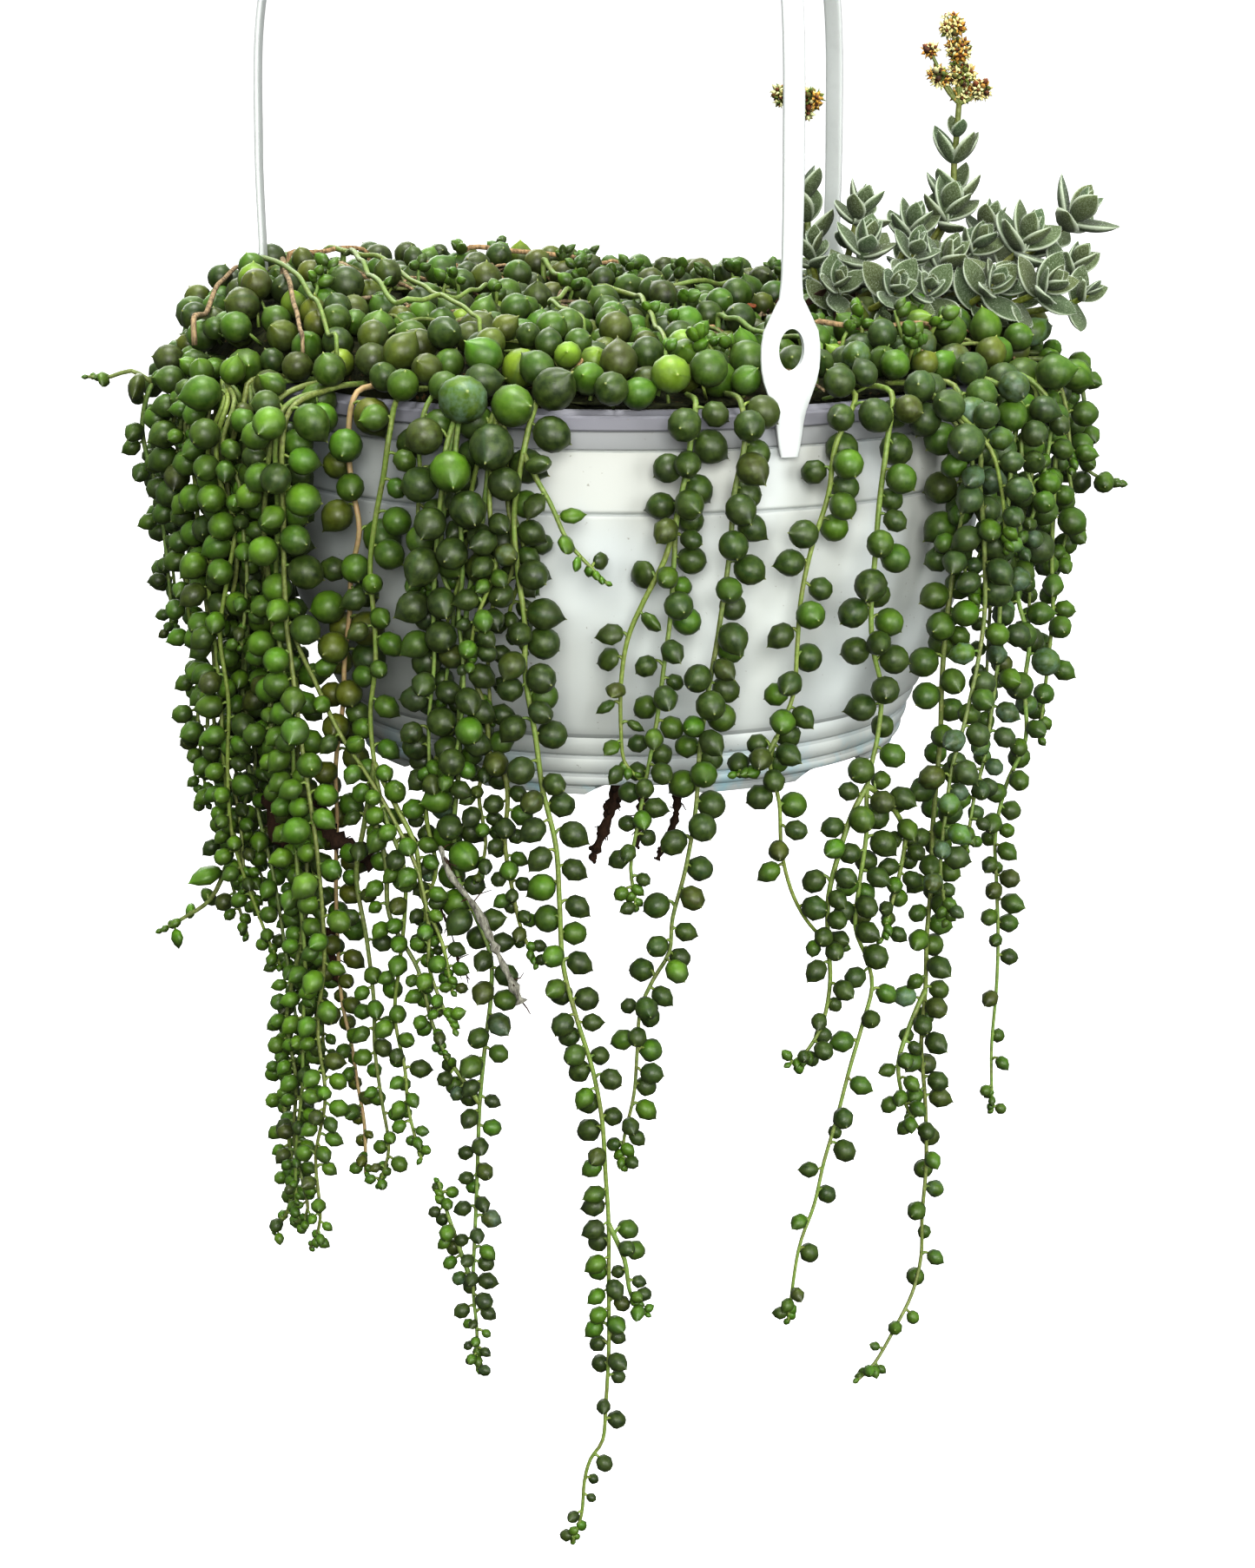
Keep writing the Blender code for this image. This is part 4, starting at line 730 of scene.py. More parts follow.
def bead_shape(pointed, radius):
    """The template for a bead, with fewer faces the smaller it is."""
    grade = 0 if radius > LARGE_BEAD else (1 if radius > MIDDLING_BEAD else 2)
    return (LEMONS if pointed else PEARLS)[grade]


def frame_along(way, roll):
    """A turn that takes Z to a direction, as rows, with a roll about it."""
    way = way.normalized()
    side = way.orthogonal().normalized()
    side = Matrix.Rotation(roll, 3, way) @ side
    across = way.cross(side)
    return np.array([side, across, way])


def add_bead(heap, template, centre, way, radius, tint, rng, flat=1.0, bloom=0.0, slot=0):
    """Adds one bead with its tip along a direction. Flat squeezes it to one side, bloom whitens its skin."""
    points, faces, marks = template
    shape = points * (radius, radius * flat, radius)
    marks = marks.copy()
    marks[:, 2] = bloom
    turned = shape @ frame_along(way, rng.uniform(0, math.tau))
    # Painted shade and light: the bead's tone darkens on its side turned in and down and brightens on the
    # side turned out and up
    outwards = Vector((centre.x, centre.y, 0)).normalized()
    painted_light_side = np.array(outwards * PAINTED_LIGHT_OUT + Vector((0, 0, PAINTED_LIGHT_UP)))
    light = np.clip(0.5 + 0.5 * turned @ painted_light_side / radius, 0.0, 1.0) ** PAINTED_SHADE_FALL
    painted_shade = PAINTED_SHADE_LOW + (PAINTED_LIGHT_HIGH - PAINTED_SHADE_LOW) * light[:, None]
    heap.add(turned + np.array(centre), faces, tint * painted_shade, marks, slot)


def wall_radius(z):
    """The pot wall's outer radius: straight below the collar, then an elliptical bowl."""
    below = max(0.0, -WALL_STRAIGHT - z)
    return WALL_RADIUS * math.sqrt(1.0 - (below / WALL_FALL) ** 2)


def pot_gap(point):
    """How far a point is from the outside of the pot."""
    radius = math.hypot(point.x, point.y)
    if point.z < -FOOT_DROP:
        return math.hypot(max(radius - FOOT_RADIUS, 0.0), -FOOT_DROP - point.z)
    if point.z < 0.0:
        return radius - wall_radius(max(point.z, -RIDGE_DROPS[0])) - RIDGE_BULGE
    over = max(point.z - LIP_TOP, 0.0)
    out = max(radius - LIP_RADIUS, 0.0)
    return math.hypot(over, out) if over or out else -1.0


def bump_at(bearing, centre):
    """One on a bearing, falling smoothly to nothing a quarter turn away."""
    return max(0.0, math.cos(math.radians(bearing - centre))) ** 6


def lip_reach(bearing):
    """How far the mat of pearls would spread from the axis if it weren't set back from the lip in front."""
    left, right = MAT_LEFT_SPREAD * bump_at(bearing, -90), MAT_RIGHT_SPREAD * bump_at(bearing, 90)
    back = MAT_BACK_SPREAD * max(0.0, -math.cos(math.radians(bearing)))
    return MAT_FRONT + left + right + back


def mat_edge(bearing):
    """How far the mat of pearls spreads from the axis."""
    front = max(0.0, math.cos(math.radians(bearing)))
    return lip_reach(bearing) - MAT_SET_BACK * min(1.0, MAT_SET_BACK_EASE * front)


def mat_low(bearing):
    """Height of the mat's edge, which droops where it spreads."""
    return MAT_EDGE_HEIGHT - MAT_EDGE_DROOP * (lip_reach(bearing) - MAT_FRONT) / MAT_LEFT_SPREAD


def mat_point(t, bearing):
    """A point on the mat's crown: t runs from 0 on the axis to 1 at the edge."""
    flat = polar(mat_edge(bearing) * t, bearing, 0)
    waves = MAT_WAVE * math.sin(flat.x / MAT_WAVE_ACROSS) * math.cos(flat.y / MAT_WAVE_BACK)
    crown = MAT_CROWN + MAT_RISE_BACK * flat.y + MAT_RISE_LEFT * max(0.0, -flat.x) + waves
    low = mat_low(bearing)
    return Vector((flat.x, flat.y, low + (crown - low) * math.sqrt(max(0.0, 1.0 - t ** 10))))


def mat_normal(t, bearing):
    """The direction that stands off the mat."""
    ahead = mat_point(min(1.0, t + 0.006), bearing) - mat_point(max(0.0, t - 0.006), bearing)
    normal = ahead.cross(polar(1, bearing + 90, 0))
    return (normal if normal.z > 0 else -normal).normalized()


class Nodes:
    """Short ways to make and link the nodes of a tree. Sizes are in millimetres."""

    def __init__(self, tree, place):
        self.tree = tree
        self.place = self.node("ShaderNodeTexCoord").outputs[place]

    def node(self, kind, **settings):
        """A new node with the given settings."""
        node = self.tree.nodes.new(kind)
        for key, value in settings.items():
            setattr(node, key, value)
        return node

    def feed(self, socket, value):
        """Links a socket to another, or sets its number or colour."""
        if isinstance(value, bpy.types.NodeSocket):
            self.tree.links.new(value, socket)
        elif hasattr(value, "__len__") and len(value) == 3 and socket.type == "RGBA":
            socket.default_value = (*value, 1.0)
        else:
            socket.default_value = value

    def split(self, kind, value):
        """The three parts of a colour or of a place."""
        node = self.node(kind)
        self.feed(node.inputs[0], value)
        return node.outputs[:3]

    def stops(self, value, stops):
        """Maps a value through stops of position and colour."""
        node = self.node("ShaderNodeValToRGB")
        self.feed(node.inputs["Fac"], value)
        elements = node.color_ramp.elements
        while len(elements) < len(stops):
            elements.new(0.5)
        for element, (position, color) in zip(elements, stops):
            element.position = position
            element.color = (*color, 1.0)
        return node.outputs["Color"]

    def ramp(self, value, start, end, top=1.0, base=0.0):
        """A grey level that runs from base at the start to top at the end."""
        return self.stops(value, [(start, (base,) * 3), (end, (top,) * 3)])

    def mix(self, factor, first, second):
        """The first colour at nought, the second at one."""
        node = self.node("ShaderNodeMix", data_type="RGBA")
        self.feed(node.inputs["Factor"], factor)
        self.feed(node.inputs[6], first)
        self.feed(node.inputs[7], second)
        return node.outputs[2]

    def math(self, operation, *values):
        """A sum on numbers or sockets."""
        node = self.node("ShaderNodeMath", operation=operation)
        for socket, value in zip(node.inputs, values):
            self.feed(socket, value)
        return node.outputs[0]

    def over(self, color, coat, mask, start, end, top=1.0, base=0.0):
        """Lays a coat, given in screen values, over a colour where a mask runs between two levels."""
        return self.mix(self.ramp(mask, start, end, top, base), color, linear(*coat))

    def wash(self, color, coat, amount, mask):
        """Lays a coat, given in screen values, over a colour by an amount of a mask."""
        return self.mix(self.math("MULTIPLY", mask, amount), color, linear(*coat))


class Paint(Nodes):
    """A material whose colour and relief come from nodes."""

    def __init__(self, name, roughness, specular=0.5):
        self.material = bpy.data.materials.new(name)
        self.material.use_nodes = True
        super().__init__(self.material.node_tree, "Object")
        self.shader = self.tree.nodes["Principled BSDF"]
        self.put("Roughness", roughness)
        self.put("Specular IOR Level", specular)

    def put(self, name, value):
        """Sets or links one of the shader's own sockets."""
        self.feed(self.shader.inputs[name], value)

    def color(self, value):
        """Sets or links the base colour."""
        self.put("Base Color", value)

    def attribute(self, name):
        """A colour that the points of a mesh carry."""
        return self.node("ShaderNodeAttribute", attribute_name=name).outputs["Color"]

    def tint(self):
        """The tone of a mesh at each point."""
        return self.attribute("tint")

    def marks(self):
        """The three marks of a mesh at each point."""
        return self.split("ShaderNodeSeparateColor", self.attribute("mark"))

    def noise(self, size, detail=3.0, roughness=0.55, stretch=None):
        """Cloudy noise with spots of a size, stretched along the axes where that is asked for."""
        node = self.node("ShaderNodeTexNoise")
        place = self.place
        if stretch:
            mapping = self.node("ShaderNodeMapping")
            self.feed(mapping.inputs["Vector"], place)
            mapping.inputs["Scale"].default_value = stretch
            place = mapping.outputs["Vector"]
        self.feed(node.inputs["Vector"], place)
        node.inputs["Scale"].default_value = 1.0 / (size * MM)
        node.inputs["Detail"].default_value = detail
        node.inputs["Roughness"].default_value = roughness
        return node.outputs["Fac"]

    def bump(self, height, depth, strength=1.0):
        """Relief of a depth that follows a height from 0 to 1."""
        node = self.node("ShaderNodeBump")
        node.inputs["Strength"].default_value = strength
        node.inputs["Distance"].default_value = depth * MM
        self.feed(node.inputs["Height"], height)
        self.put("Normal", node.outputs["Normal"])


def pearl_paint():
    """Waxy pearl skin: mottled green, pale at its tip, with a window line, dusty bloom and a faint painted
    sheen at its edges.
    """
    paint = Paint("pearl_skin", 0.4, 0.42)
    tint = paint.tint()
    along, meridian, bloom = paint.marks()
    mottle = paint.noise(2.6, 4.0, 0.6)
    lighter = paint.mix(0.25, tint, linear(150, 176, 80))
    color = paint.mix(paint.ramp(mottle, 0.35, 0.75, 0.55), tint, lighter)
    color = paint.over(color, (46, 50, 30), paint.noise(8.0, 3.0), 0.45, 0.7, 0.45)
    color = paint.over(color, (36, 66, 26), meridian, 0.975, 0.998, 0.35)
    color = paint.over(color, (170, 176, 110), along, 0.93, 0.985, 0.6)
    dust = paint.ramp(paint.noise(4.0, 5.0, 0.6), 0.42, 0.72, 0.85)
    color = paint.wash(color, (100, 124, 108), dust, bloom)
    # Painted sheen: the colour turns paler towards the edges that face away from the view
    edge = paint.node("ShaderNodeLayerWeight")
    edge.inputs["Blend"].default_value = 0.3
    color = paint.wash(color, (110, 130, 66), 0.10, edge.outputs["Facing"])
    paint.color(color)
    paint.put("Subsurface Weight", 0.08)
    paint.put("Subsurface Radius", (0.6, 1.0, 0.3))
    paint.put("Subsurface Scale", 0.002)
    paint.put("Roughness", paint.math("MULTIPLY_ADD", mottle, 0.2, 0.33))
    paint.bump(paint.noise(1.1, 3.0), 0.12, 0.5)
    return paint.material


def stem_paint():
    """Fleshy stems: tinted, streaked with light and flecked with brown."""
    paint = Paint("stem_skin", 0.5, 0.4)
    color = paint.over(paint.tint(), (96, 92, 56), paint.noise(4.0, 4.0), 0.45, 0.75, 0.7)
    paint.color(paint.over(color, (160, 172, 104), paint.noise(1.2, 2.0), 0.4, 0.8, 0.4))
    paint.bump(paint.noise(0.9, 3.0), 0.15, 0.6)
    return paint.material


def bark_paint():
    """Dry stems and roots: brown fibre with dark pits."""
    paint = Paint("dry_fibre", 0.9, 0.2)
    fibre = paint.noise(1.4, 6.0, 0.7, (1.0, 1.0, 0.35))
    paint.color(paint.over(paint.tint(), (34, 24, 18), fibre, 0.35, 0.6, 0.0, 0.85))
    paint.bump(fibre, 0.5, 0.9)
    return paint.material


def soil_paint():
    """Crumbly dark potting soil with pale grit."""
    paint = Paint("potting_soil", 0.95, 0.2)
    crumbs = paint.noise(3.0, 8.0, 0.7)
    color = paint.over(linear(26, 19, 14), (84, 62, 46), crumbs, 0.35, 0.7)
    paint.color(paint.over(color, (168, 150, 124), paint.noise(1.2, 2.0), 0.68, 0.74))
    paint.bump(crumbs, 1.6, 1.0)
    return paint.material


def thatch_paint():
    """What shows between the pearls: dark stems, shed skins and soil."""
    paint = Paint("thatch", 0.95, 0.15)
    weave = paint.noise(4.0, 8.0, 0.7, (1.0, 1.6, 0.8))
    color = paint.over(linear(18, 20, 12), (52, 56, 30), weave, 0.35, 0.65)
    paint.color(paint.over(color, (104, 78, 50), paint.noise(2.2, 3.0), 0.62, 0.72, 0.7))
    paint.bump(weave, 1.5, 1.0)
    return paint.material


def wool_paint():
    """Woolly crassula leaf: grey-green felt, greener near its root, with a white margin."""
    paint = Paint("woolly_leaf", 0.85, 0.25)
    margin, along, _ = paint.marks()
    felt = paint.noise(0.55, 5.0, 0.75)
    color = paint.over(paint.tint(), (176, 190, 160), felt, 0.46, 0.76, 0.42)
    color = paint.over(color, (66, 88, 44), along, 0.0, 0.5, 0.0, 0.5)
    paint.color(paint.over(color, (206, 216, 196), margin, 0.84, 0.99, 0.62))
    paint.put("Sheen Weight", 0.1)
    paint.put("Sheen Roughness", 0.4)
    paint.bump(felt, 0.35, 0.8)
    return paint.material


def hair_paint():
    """Fine white hairs of the crassula."""
    paint = Paint("white_hair", 0.7, 0.3)
    paint.color(paint.mix(paint.noise(2.0), linear(226, 232, 222), linear(190, 204, 188)))
    return paint.material


def petal_paint():
    """Small papery petals and buds, tinted and freckled."""
    paint = Paint("petals", 0.7, 0.3)
    paint.color(paint.over(paint.tint(), (120, 70, 34), paint.noise(0.8, 4.0), 0.45, 0.7, 0.6))
    return paint.material


def pot_paint():
    """Moulded white plastic: a mauve-grey lip, water stains, dust and specks, and painted light and shade:
    the collar grey in the lip's shadow, cool and warm clouds of reflection, lighter towards the foot,
    darker lines in the groove, at the collar step and between the ridges, and a darker left side.
    """
    paint = Paint("pot_plastic", 0.4, 0.25)
    across, _, height = paint.split("ShaderNodeSeparateXYZ", paint.place)
    level = paint.math("MULTIPLY_ADD", height, 1.0 / MM, RIM_BELOW_HOOK)
    # Painted reflections: cool and warm clouds on the white plastic
    painted_reflections = paint.noise(34.0, 2.0, 0.5, (1.0, 1.0, 0.5))
    color = paint.over(linear(150, 157, 165), (160, 159, 152), painted_reflections, 0.36, 0.62)
    # Painted light: the wall is painted lighter towards the foot, where it turns down away from the light
    lower = paint.ramp(paint.math("MULTIPLY_ADD", level, -0.009, 0.5), 0.1, 1.0)
    color = paint.wash(color, (213, 219, 217), 0.75, lower)
    # Painted shade: darker lines in the groove, at the collar step and between the ridges
    painted_shade_lines = [(GROOVE_DROP, 0.6), (COLLAR_DROP + 0.4, 0.5)] + [(drop, 0.9) for drop in RIDGE_DROPS]
    for drop, width in painted_shade_lines:
        away = paint.math("ABSOLUTE", paint.math("ADD", level, drop))
        color = paint.wash(color, (118, 124, 126), 0.35, paint.math("LESS_THAN", away, width))
    # Painted shade: the left side of the pot is darker
    color = paint.over(color, (126, 135, 142), paint.math("MULTIPLY", across, -9.0), 0.0, 1.0, 0.3)
    # Grey over the lip and the collar under it; on the collar it is painted shade from the lip. The lip
    # above the rim plane is darker still, mauve-grey.
    rim = paint.math("GREATER_THAN", level, -COLLAR_DROP - 0.2)
    color = paint.wash(color, (140, 142, 145), 0.85, rim)
    color = paint.wash(color, (90, 87, 104), 0.5, paint.math("GREATER_THAN", level, 0.0))
    foot = paint.ramp(paint.math("MULTIPLY_ADD", level, -0.05, -5.2), 0.0, 1.0)
    stain = paint.ramp(paint.noise(17.0, 3.0), 0.52, 0.64, 0.8)
    color = paint.wash(color, (150, 200, 214), stain, foot)
    paint.color(paint.over(color, (120, 116, 104), paint.noise(1.7, 2.0, 0.5), 0.73, 0.76, 0.55))
    paint.put("Roughness", paint.math("MULTIPLY_ADD", paint.noise(8.0, 4.0), 0.2, 0.36))
    paint.bump(paint.noise(14.0, 2.0), 0.1, 0.3)
    return paint.material


def hanger_paint():
    """White hanger plastic with faint flow marks and scuffs."""
    paint = Paint("hanger_plastic", 0.36, 0.5)
    scuffs = paint.noise(5.0, 5.0, 0.7)
    paint.color(paint.over(linear(184, 188, 188), (160, 163, 163), scuffs, 0.5, 0.8, 0.35))
    paint.bump(paint.noise(3.0, 3.0), 0.1, 0.4)
    return paint.material


def root_points(bearing):
    """A vine's first stretch: sunk in the mat, then straight out over the lip."""
    edge = lip_reach(bearing)
    return [polar(edge - ROOT_DEPTH, bearing, ROOT_HEIGHT), polar(edge + 2.5, bearing, ROOT_HEIGHT - 0.6)]


def vine_paths():
    """Every vine as its pearl sizes and the paths of its stem and branches."""
    vines = []
    for root, depth, sizes, routes in VINES:
        paths = [[Vector((x, depth(x), z)) for x, z in route] for route in routes]
        paths[0] = root_points(root) + paths[0]
        vines.append((sizes, paths))
    rng = random.Random(BACK_SEED)
    for root, reach, length in BACK_VINES:
        drift = rng.uniform(-1.4, 1.4)
        count = max(3, round(length / 24))
        path = root_points(root)
        for i in range(count):
            bearing = root + drift * i + rng.uniform(-0.5, 0.5)
            path.append(polar(reach + rng.uniform(-1, 1), bearing, 2 - (length + 2) * i / (count - 1)))
        vines.append((BACK_SIZES, [path]))
    return vines


def fellow_path(path, right, back, share, rng):
    """A strand that hangs beside another one, wandering a little."""
    last = max(3, round(len(path) * share))
    out = []
    for i, point in enumerate(path[1:last]):
        away = Vector((point.x, point.y, 0)).normalized()
        ease = min(1.0, i / 3.0)
        sway = 2.0 + 2.5 * i / last
        moved = point + Vector((right, back, 0.0)) * ease
        moved += stray(rng, sway, 2, -4, 2) * ease
        short = 3.0 - pot_gap(moved)
        if short > 0.0 and i > 1:
            moved += away * short
        moved.y = max(moved.y, -FRONT_LIMIT)
        out.append(moved)
    return [path[0]] + out


def vary(tone, rng, spread=0.16):
    """A tone with a natural spread of lightness and of yellow."""
    light = 1.0 + rng.uniform(-spread, spread)
    warm = rng.uniform(-0.12, 0.12)
    return TONES[tone] * light * np.array([1.0 + warm, 1.0, 1.0 - warm])


def pick(table, roll, otherwise):
    """The first tone of a table whose limit lies over a roll."""
    for limit, tone in table:
        if roll < limit:
            return tone
    return otherwise


def pearl_tone(tone, share, rng):
    """Picks the tone of one pearl: mostly its vine's, now and then a neighbouring one, fresh at the tips."""
    roll = rng.random()
    if roll < max(0.0, 1.2 * share - 0.8):
        return "fresh"
    return pick(STRING_TONES, roll, tone)


def pearl_size(number, sizes, share):
    """The usual radius of a pearl at a share of a strand's length."""
    return sizes[1] + (sizes[0] - sizes[1]) * (1.0 - share) ** FALLS.get(number, FALL)


def roomiest(crowd, spot, along, out, turn, radius, rng):
    """The best of several places round a stem for a pearl: its gap, its centre and the way it stands."""
    best = None
    for attempt in range(PLACE_TRIES):
        swing = ((turn + PLACE_TURN * attempt) % 360.0 - 180.0) * PLACE_SPREAD
        way = rotated(out, swing, along)
        centre = spot + way * (radius + rng.uniform(0.6, 1.8)) + Vector((0, 0, -0.25 * radius))
        gap = crowd.space(centre, radius)
        if best is None or gap > best[0]:
            best = (gap, centre, way)
        if gap > 0.0:
            break
    return best


def dress_strand(heap, crowd, number, path, sizes, steps, tone, start, rng, leafy=False, sparse=1.0):
    """Hangs pearls on petioles along a stem, on all sides but most of them outwards."""
    lengths = lengths_of(path)
    total = lengths[-1]
    distance = start
    overlap = OVERLAP_PACKED if number in PACKED else OVERLAP
    turn, phase = rng.uniform(0, 360), rng.uniform(0, math.tau)
    while distance < total - 1.0:
        share = distance / total
        radius = min(pearl_size(number, sizes, share), PEARL_MOST) * rng.triangular(*PEARL_SPREAD)
        if share > TIP_SHARE:
            radius *= TIP_SIZE
        spot, along = spot_on(path, lengths, distance)
        out = Vector((spot.x, spot.y, 0.001)).normalized()
        out = (out - along * out.dot(along)).normalized()
        step = steps[0] + (steps[1] - steps[0]) * share
        bunch = 1.0 + BUNCHING * math.sin(distance / (BUNCH_LENGTH * sizes[0]) + phase)
        if share > sparse:
            step *= SPARSE_STEP
        distance += radius * step * bunch * rng.uniform(0.75, 1.3)
        turn += GOLDEN_TURN + rng.uniform(-60, 60)
        gap, centre, way = roomiest(crowd, spot, along, out, turn, radius, rng)
        if gap < -overlap * radius:
            continue
        droop = way * 0.85 + stray(rng, 0.2, 0.2, -0.75, -0.1)
        bloom = rng.uniform(0.5, 1.0) if rng.random() < DUSTY.get(number, 0.0) else 0.1 * rng.random()
        add_pearl(heap, spot, centre, droop, radius, tone, share, rng, leafy, bloom)
        crowd.add(centre, radius, "vine")


def end_strand(heap, crowd, path, size, rng):
    """Closes a strand with a few small young pearls round its growing tip."""
    end, along = path[-1], (path[-1] - path[-3]).normalized()
    for k in range(4):
        radius = size * (0.42 + 0.1 * k)
        way = (along + polar(0.9, rng.uniform(0, 360), 0.0)).normalized()
        centre = end - along * (0.5 + 2.3 * k) + way * radius * 0.9
        if crowd.bounds.room(centre, radius * 1.2) > 0.0:
            add_bead(heap, bead_shape(True, radius), centre, way, radius, vary("fresh", rng), rng, 0.85)


def add_pearl(heap, spot, centre, droop, radius, tone, share, rng, leafy, bloom):
    """Adds one pearl, or one thin leaf, with its petiole."""
    tint = vary(pearl_tone(tone, share, rng), rng)
    droop.normalize()
    pointed = rng.random() < (0.7 if radius > 6.0 else 0.25 + 0.4 * share)
    if leafy:
        add_bead(heap, LEMONS[1], centre, droop, radius, tint * THIN_LEAF_LIGHT, rng, THIN_LEAF_FLAT)
    else:
        stretch = rng.uniform(0.94, 1.0)
        template = bead_shape(pointed, radius)
        add_bead(heap, template, centre, droop, radius * stretch, tint, rng, rng.uniform(0.93, 1.0), bloom)
    foot = centre - droop * radius * 0.9
    middle = spot.lerp(foot, 0.5) + Vector((0, 0, 0.5))
    add_tube(heap, [spot, middle, foot], 0.6, 0.42, 4, vary("stem", rng, 0.1), 1)


def watch_stem(crowd, owner, path, radius):
    """Marks a stem as taken, so that no pearl is run through by it."""
    lengths = lengths_of(path)
    for i in range(int(lengths[-1] / 3.0)):
        crowd.add(spot_on(path, lengths, 3.0 * i)[0], radius, owner)


def plan_strands(number, sizes, paths, rng):
    """The strands of one vine as path, pearl sizes, whether they carry leaves, and bare length."""
    bare = DRESS.get(number, DRESS_DEFAULT)[3]
    trunk = smooth_path(paths[0], 3.0)
    strands = [(trunk, sizes, False, bare)]
    for branch, path in enumerate(paths[1:], 1):
        share = min(range(len(trunk)), key=lambda i: (trunk[i] - path[0]).length) / len(trunk)
        leafy = (number, branch) in LEAFY
        start = THIN_LEAF if leafy else min(5.0, pearl_size(number, sizes, share))
        strands.append((smooth_path(path, 3.0), (start, sizes[1] * 0.9), leafy, 4.0))
    for right, back, share, size in FELLOWS.get(number, []):
        path = fellow_path(paths[0], right, back, share, rng)
        start = min(bare, 18.0) * rng.uniform(0.35, 1.0) + 5.0
        strands.append((smooth_path(path, 3.0), (sizes[0] * size, sizes[1] * size), False, start))
    return strands


def make_strings(crowd, materials):
    """All the hanging strings, each one piece with its branches and the fellows that fill it out."""
    plans = []
    for number, (sizes, paths) in enumerate(vine_paths(), 1):
        name = "vine_%02d" % number
        rng = random.Random(name)
        strands = plan_strands(number, sizes, paths, rng)
        for strand in strands:
            watch_stem(crowd, name, strand[0], STEM_RADIUS)
        plans.append((number, name, strands, rng))
    made = []
    for number, name, strands, rng in plans:
        heap = Heap()
        top, tip, tone, _ = DRESS.get(number, DRESS_DEFAULT)
        for index, (path, sizes, leafy, start) in enumerate(strands):
            if number in DRY_VINES:
                stem_tone = "dry"
            else:
                stem_tone = "stem_old" if rng.random() < STEM_OLD_SHARE else "stem"
            add_tube(heap, path, STEM_RADIUS, STEM_TIP, 6, vary(stem_tone, rng, 0.1), 1)
            steps = THIN_LEAF_STEPS if leafy else (top, tip)
            sparse = 1.0 if index else SPARSE.get(number, 1.0)
            dress_strand(heap, crowd, number, path, sizes, steps, tone, start, rng, leafy, sparse)
            end_strand(heap, crowd, path, sizes[1], rng)
        for vine, wood, route, first, last in DEAD_WOOD:
            if vine == number:
                add_dead_wood(heap, [Vector(point) for point in route], first, last, wood, rng)
        piece = heap.build(name, materials)
        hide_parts("string_%02d" % number)
        made.append((piece, "vine"))
    return made


def add_dead_wood(heap, route, first, last, tone, rng):
    """A knotted brown stem, or a clump of soil, with fine roots that stick out of it."""
    path = smooth_path(route, 2.0)
    radii = [(first + (last - first) * i / len(path)) * rng.uniform(0.45, 1.5) for i in range(len(path))]
    points, faces = tube(path, radii, 9)
    heap.add(points, faces, vary(tone, rng), None, 2)
    for _ in range(12):
        root = rng.choice(path)
        tip = root + stray(rng, 1, 1, -1, 0.4) * rng.uniform(3.0, 7.0)
        middle = root.lerp(tip, 0.5) + Vector((rng.uniform(-1, 1), 0, rng.uniform(-1, 1)))
        add_tube(heap, [root, middle, tip], 0.3, 0.15, 4, vary("brown", rng), 2)


def make_thatch(crowd, paints):
    """The dark layer of stems and shed skins under the pearls of the mat, with stems lying over it."""
    heap = Heap()
    rng = random.Random(SEED)
    bearings = [360.0 * i / THATCH_SIDES for i in range(THATCH_SIDES)]
    rows = []
    for ring in range(1, THATCH_RINGS + 1):
        t = (ring / THATCH_RINGS) ** 0.8 * 0.985
        rows.append([mat_point(t, bearing) - mat_normal(t, bearing) * (3.6 + 1.8 * rng.random())
                     for bearing in bearings])
    rows += [[polar(radius, bearing, z) for bearing in bearings] for radius, z in THATCH_INSIDE]
    points = [tuple(point) for row in reversed(rows) for point in row]
    points += [(0, 0, THATCH_INSIDE[-1][1]), tuple(mat_point(0, 0) - Vector((0, 0, 4)))]
    heap.add(points, ring_faces(len(rows), THATCH_SIDES), TONES["brown"])
    for route, dry in RUNNERS:
        add_runner(heap, crowd, [Vector((x, y, 0)) for x, y in route], dry, rng)
    for _ in range(LOOSE_STEMS):
        add_loose_stem(heap, rng, Vector((rng.uniform(-125, 125), rng.uniform(-110, 110), 0)), 1.0)
    for x, y, size in HOLLOWS:
        for _ in range(round(size * 0.9)):
            place = Vector((x + rng.uniform(-size, size), y + rng.uniform(-size, size), 0))
            add_loose_stem(heap, rng, place, 2.5)
    piece = heap.build("mat_thatch", paints)
    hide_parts("pearl_mat")
    return piece


def on_mat(x, y, lift):
    """The point of the mat's crown over a place seen from above, lifted off it."""
    bearing = bearing_of(Vector((x, y, 0)))
    t = min(0.97, math.hypot(x, y) / mat_edge(bearing))
    point = mat_point(t, bearing)
    return Vector((x, y, point.z + lift))


def add_runner(heap, crowd, route, dry, rng):
    """One long stem that lies over the pearls."""
    path = [on_mat(p.x, p.y, 8.0 + rng.uniform(-1.0, 1.5)) for p in smooth_path(route, 9.0)]
    path = [path[0] - Vector((0, 0, 8))] + path + [path[-1] - Vector((0, 0, 7))]
    path = smooth_path(path, 3.0)
    tone, slot = ("dry", 2) if dry else ("stem", 1)
    add_tube(heap, path, 1.0, 0.7, 8, vary(tone, rng, 0.08), slot)
    watch_stem(crowd, "runner", path, 0.9)


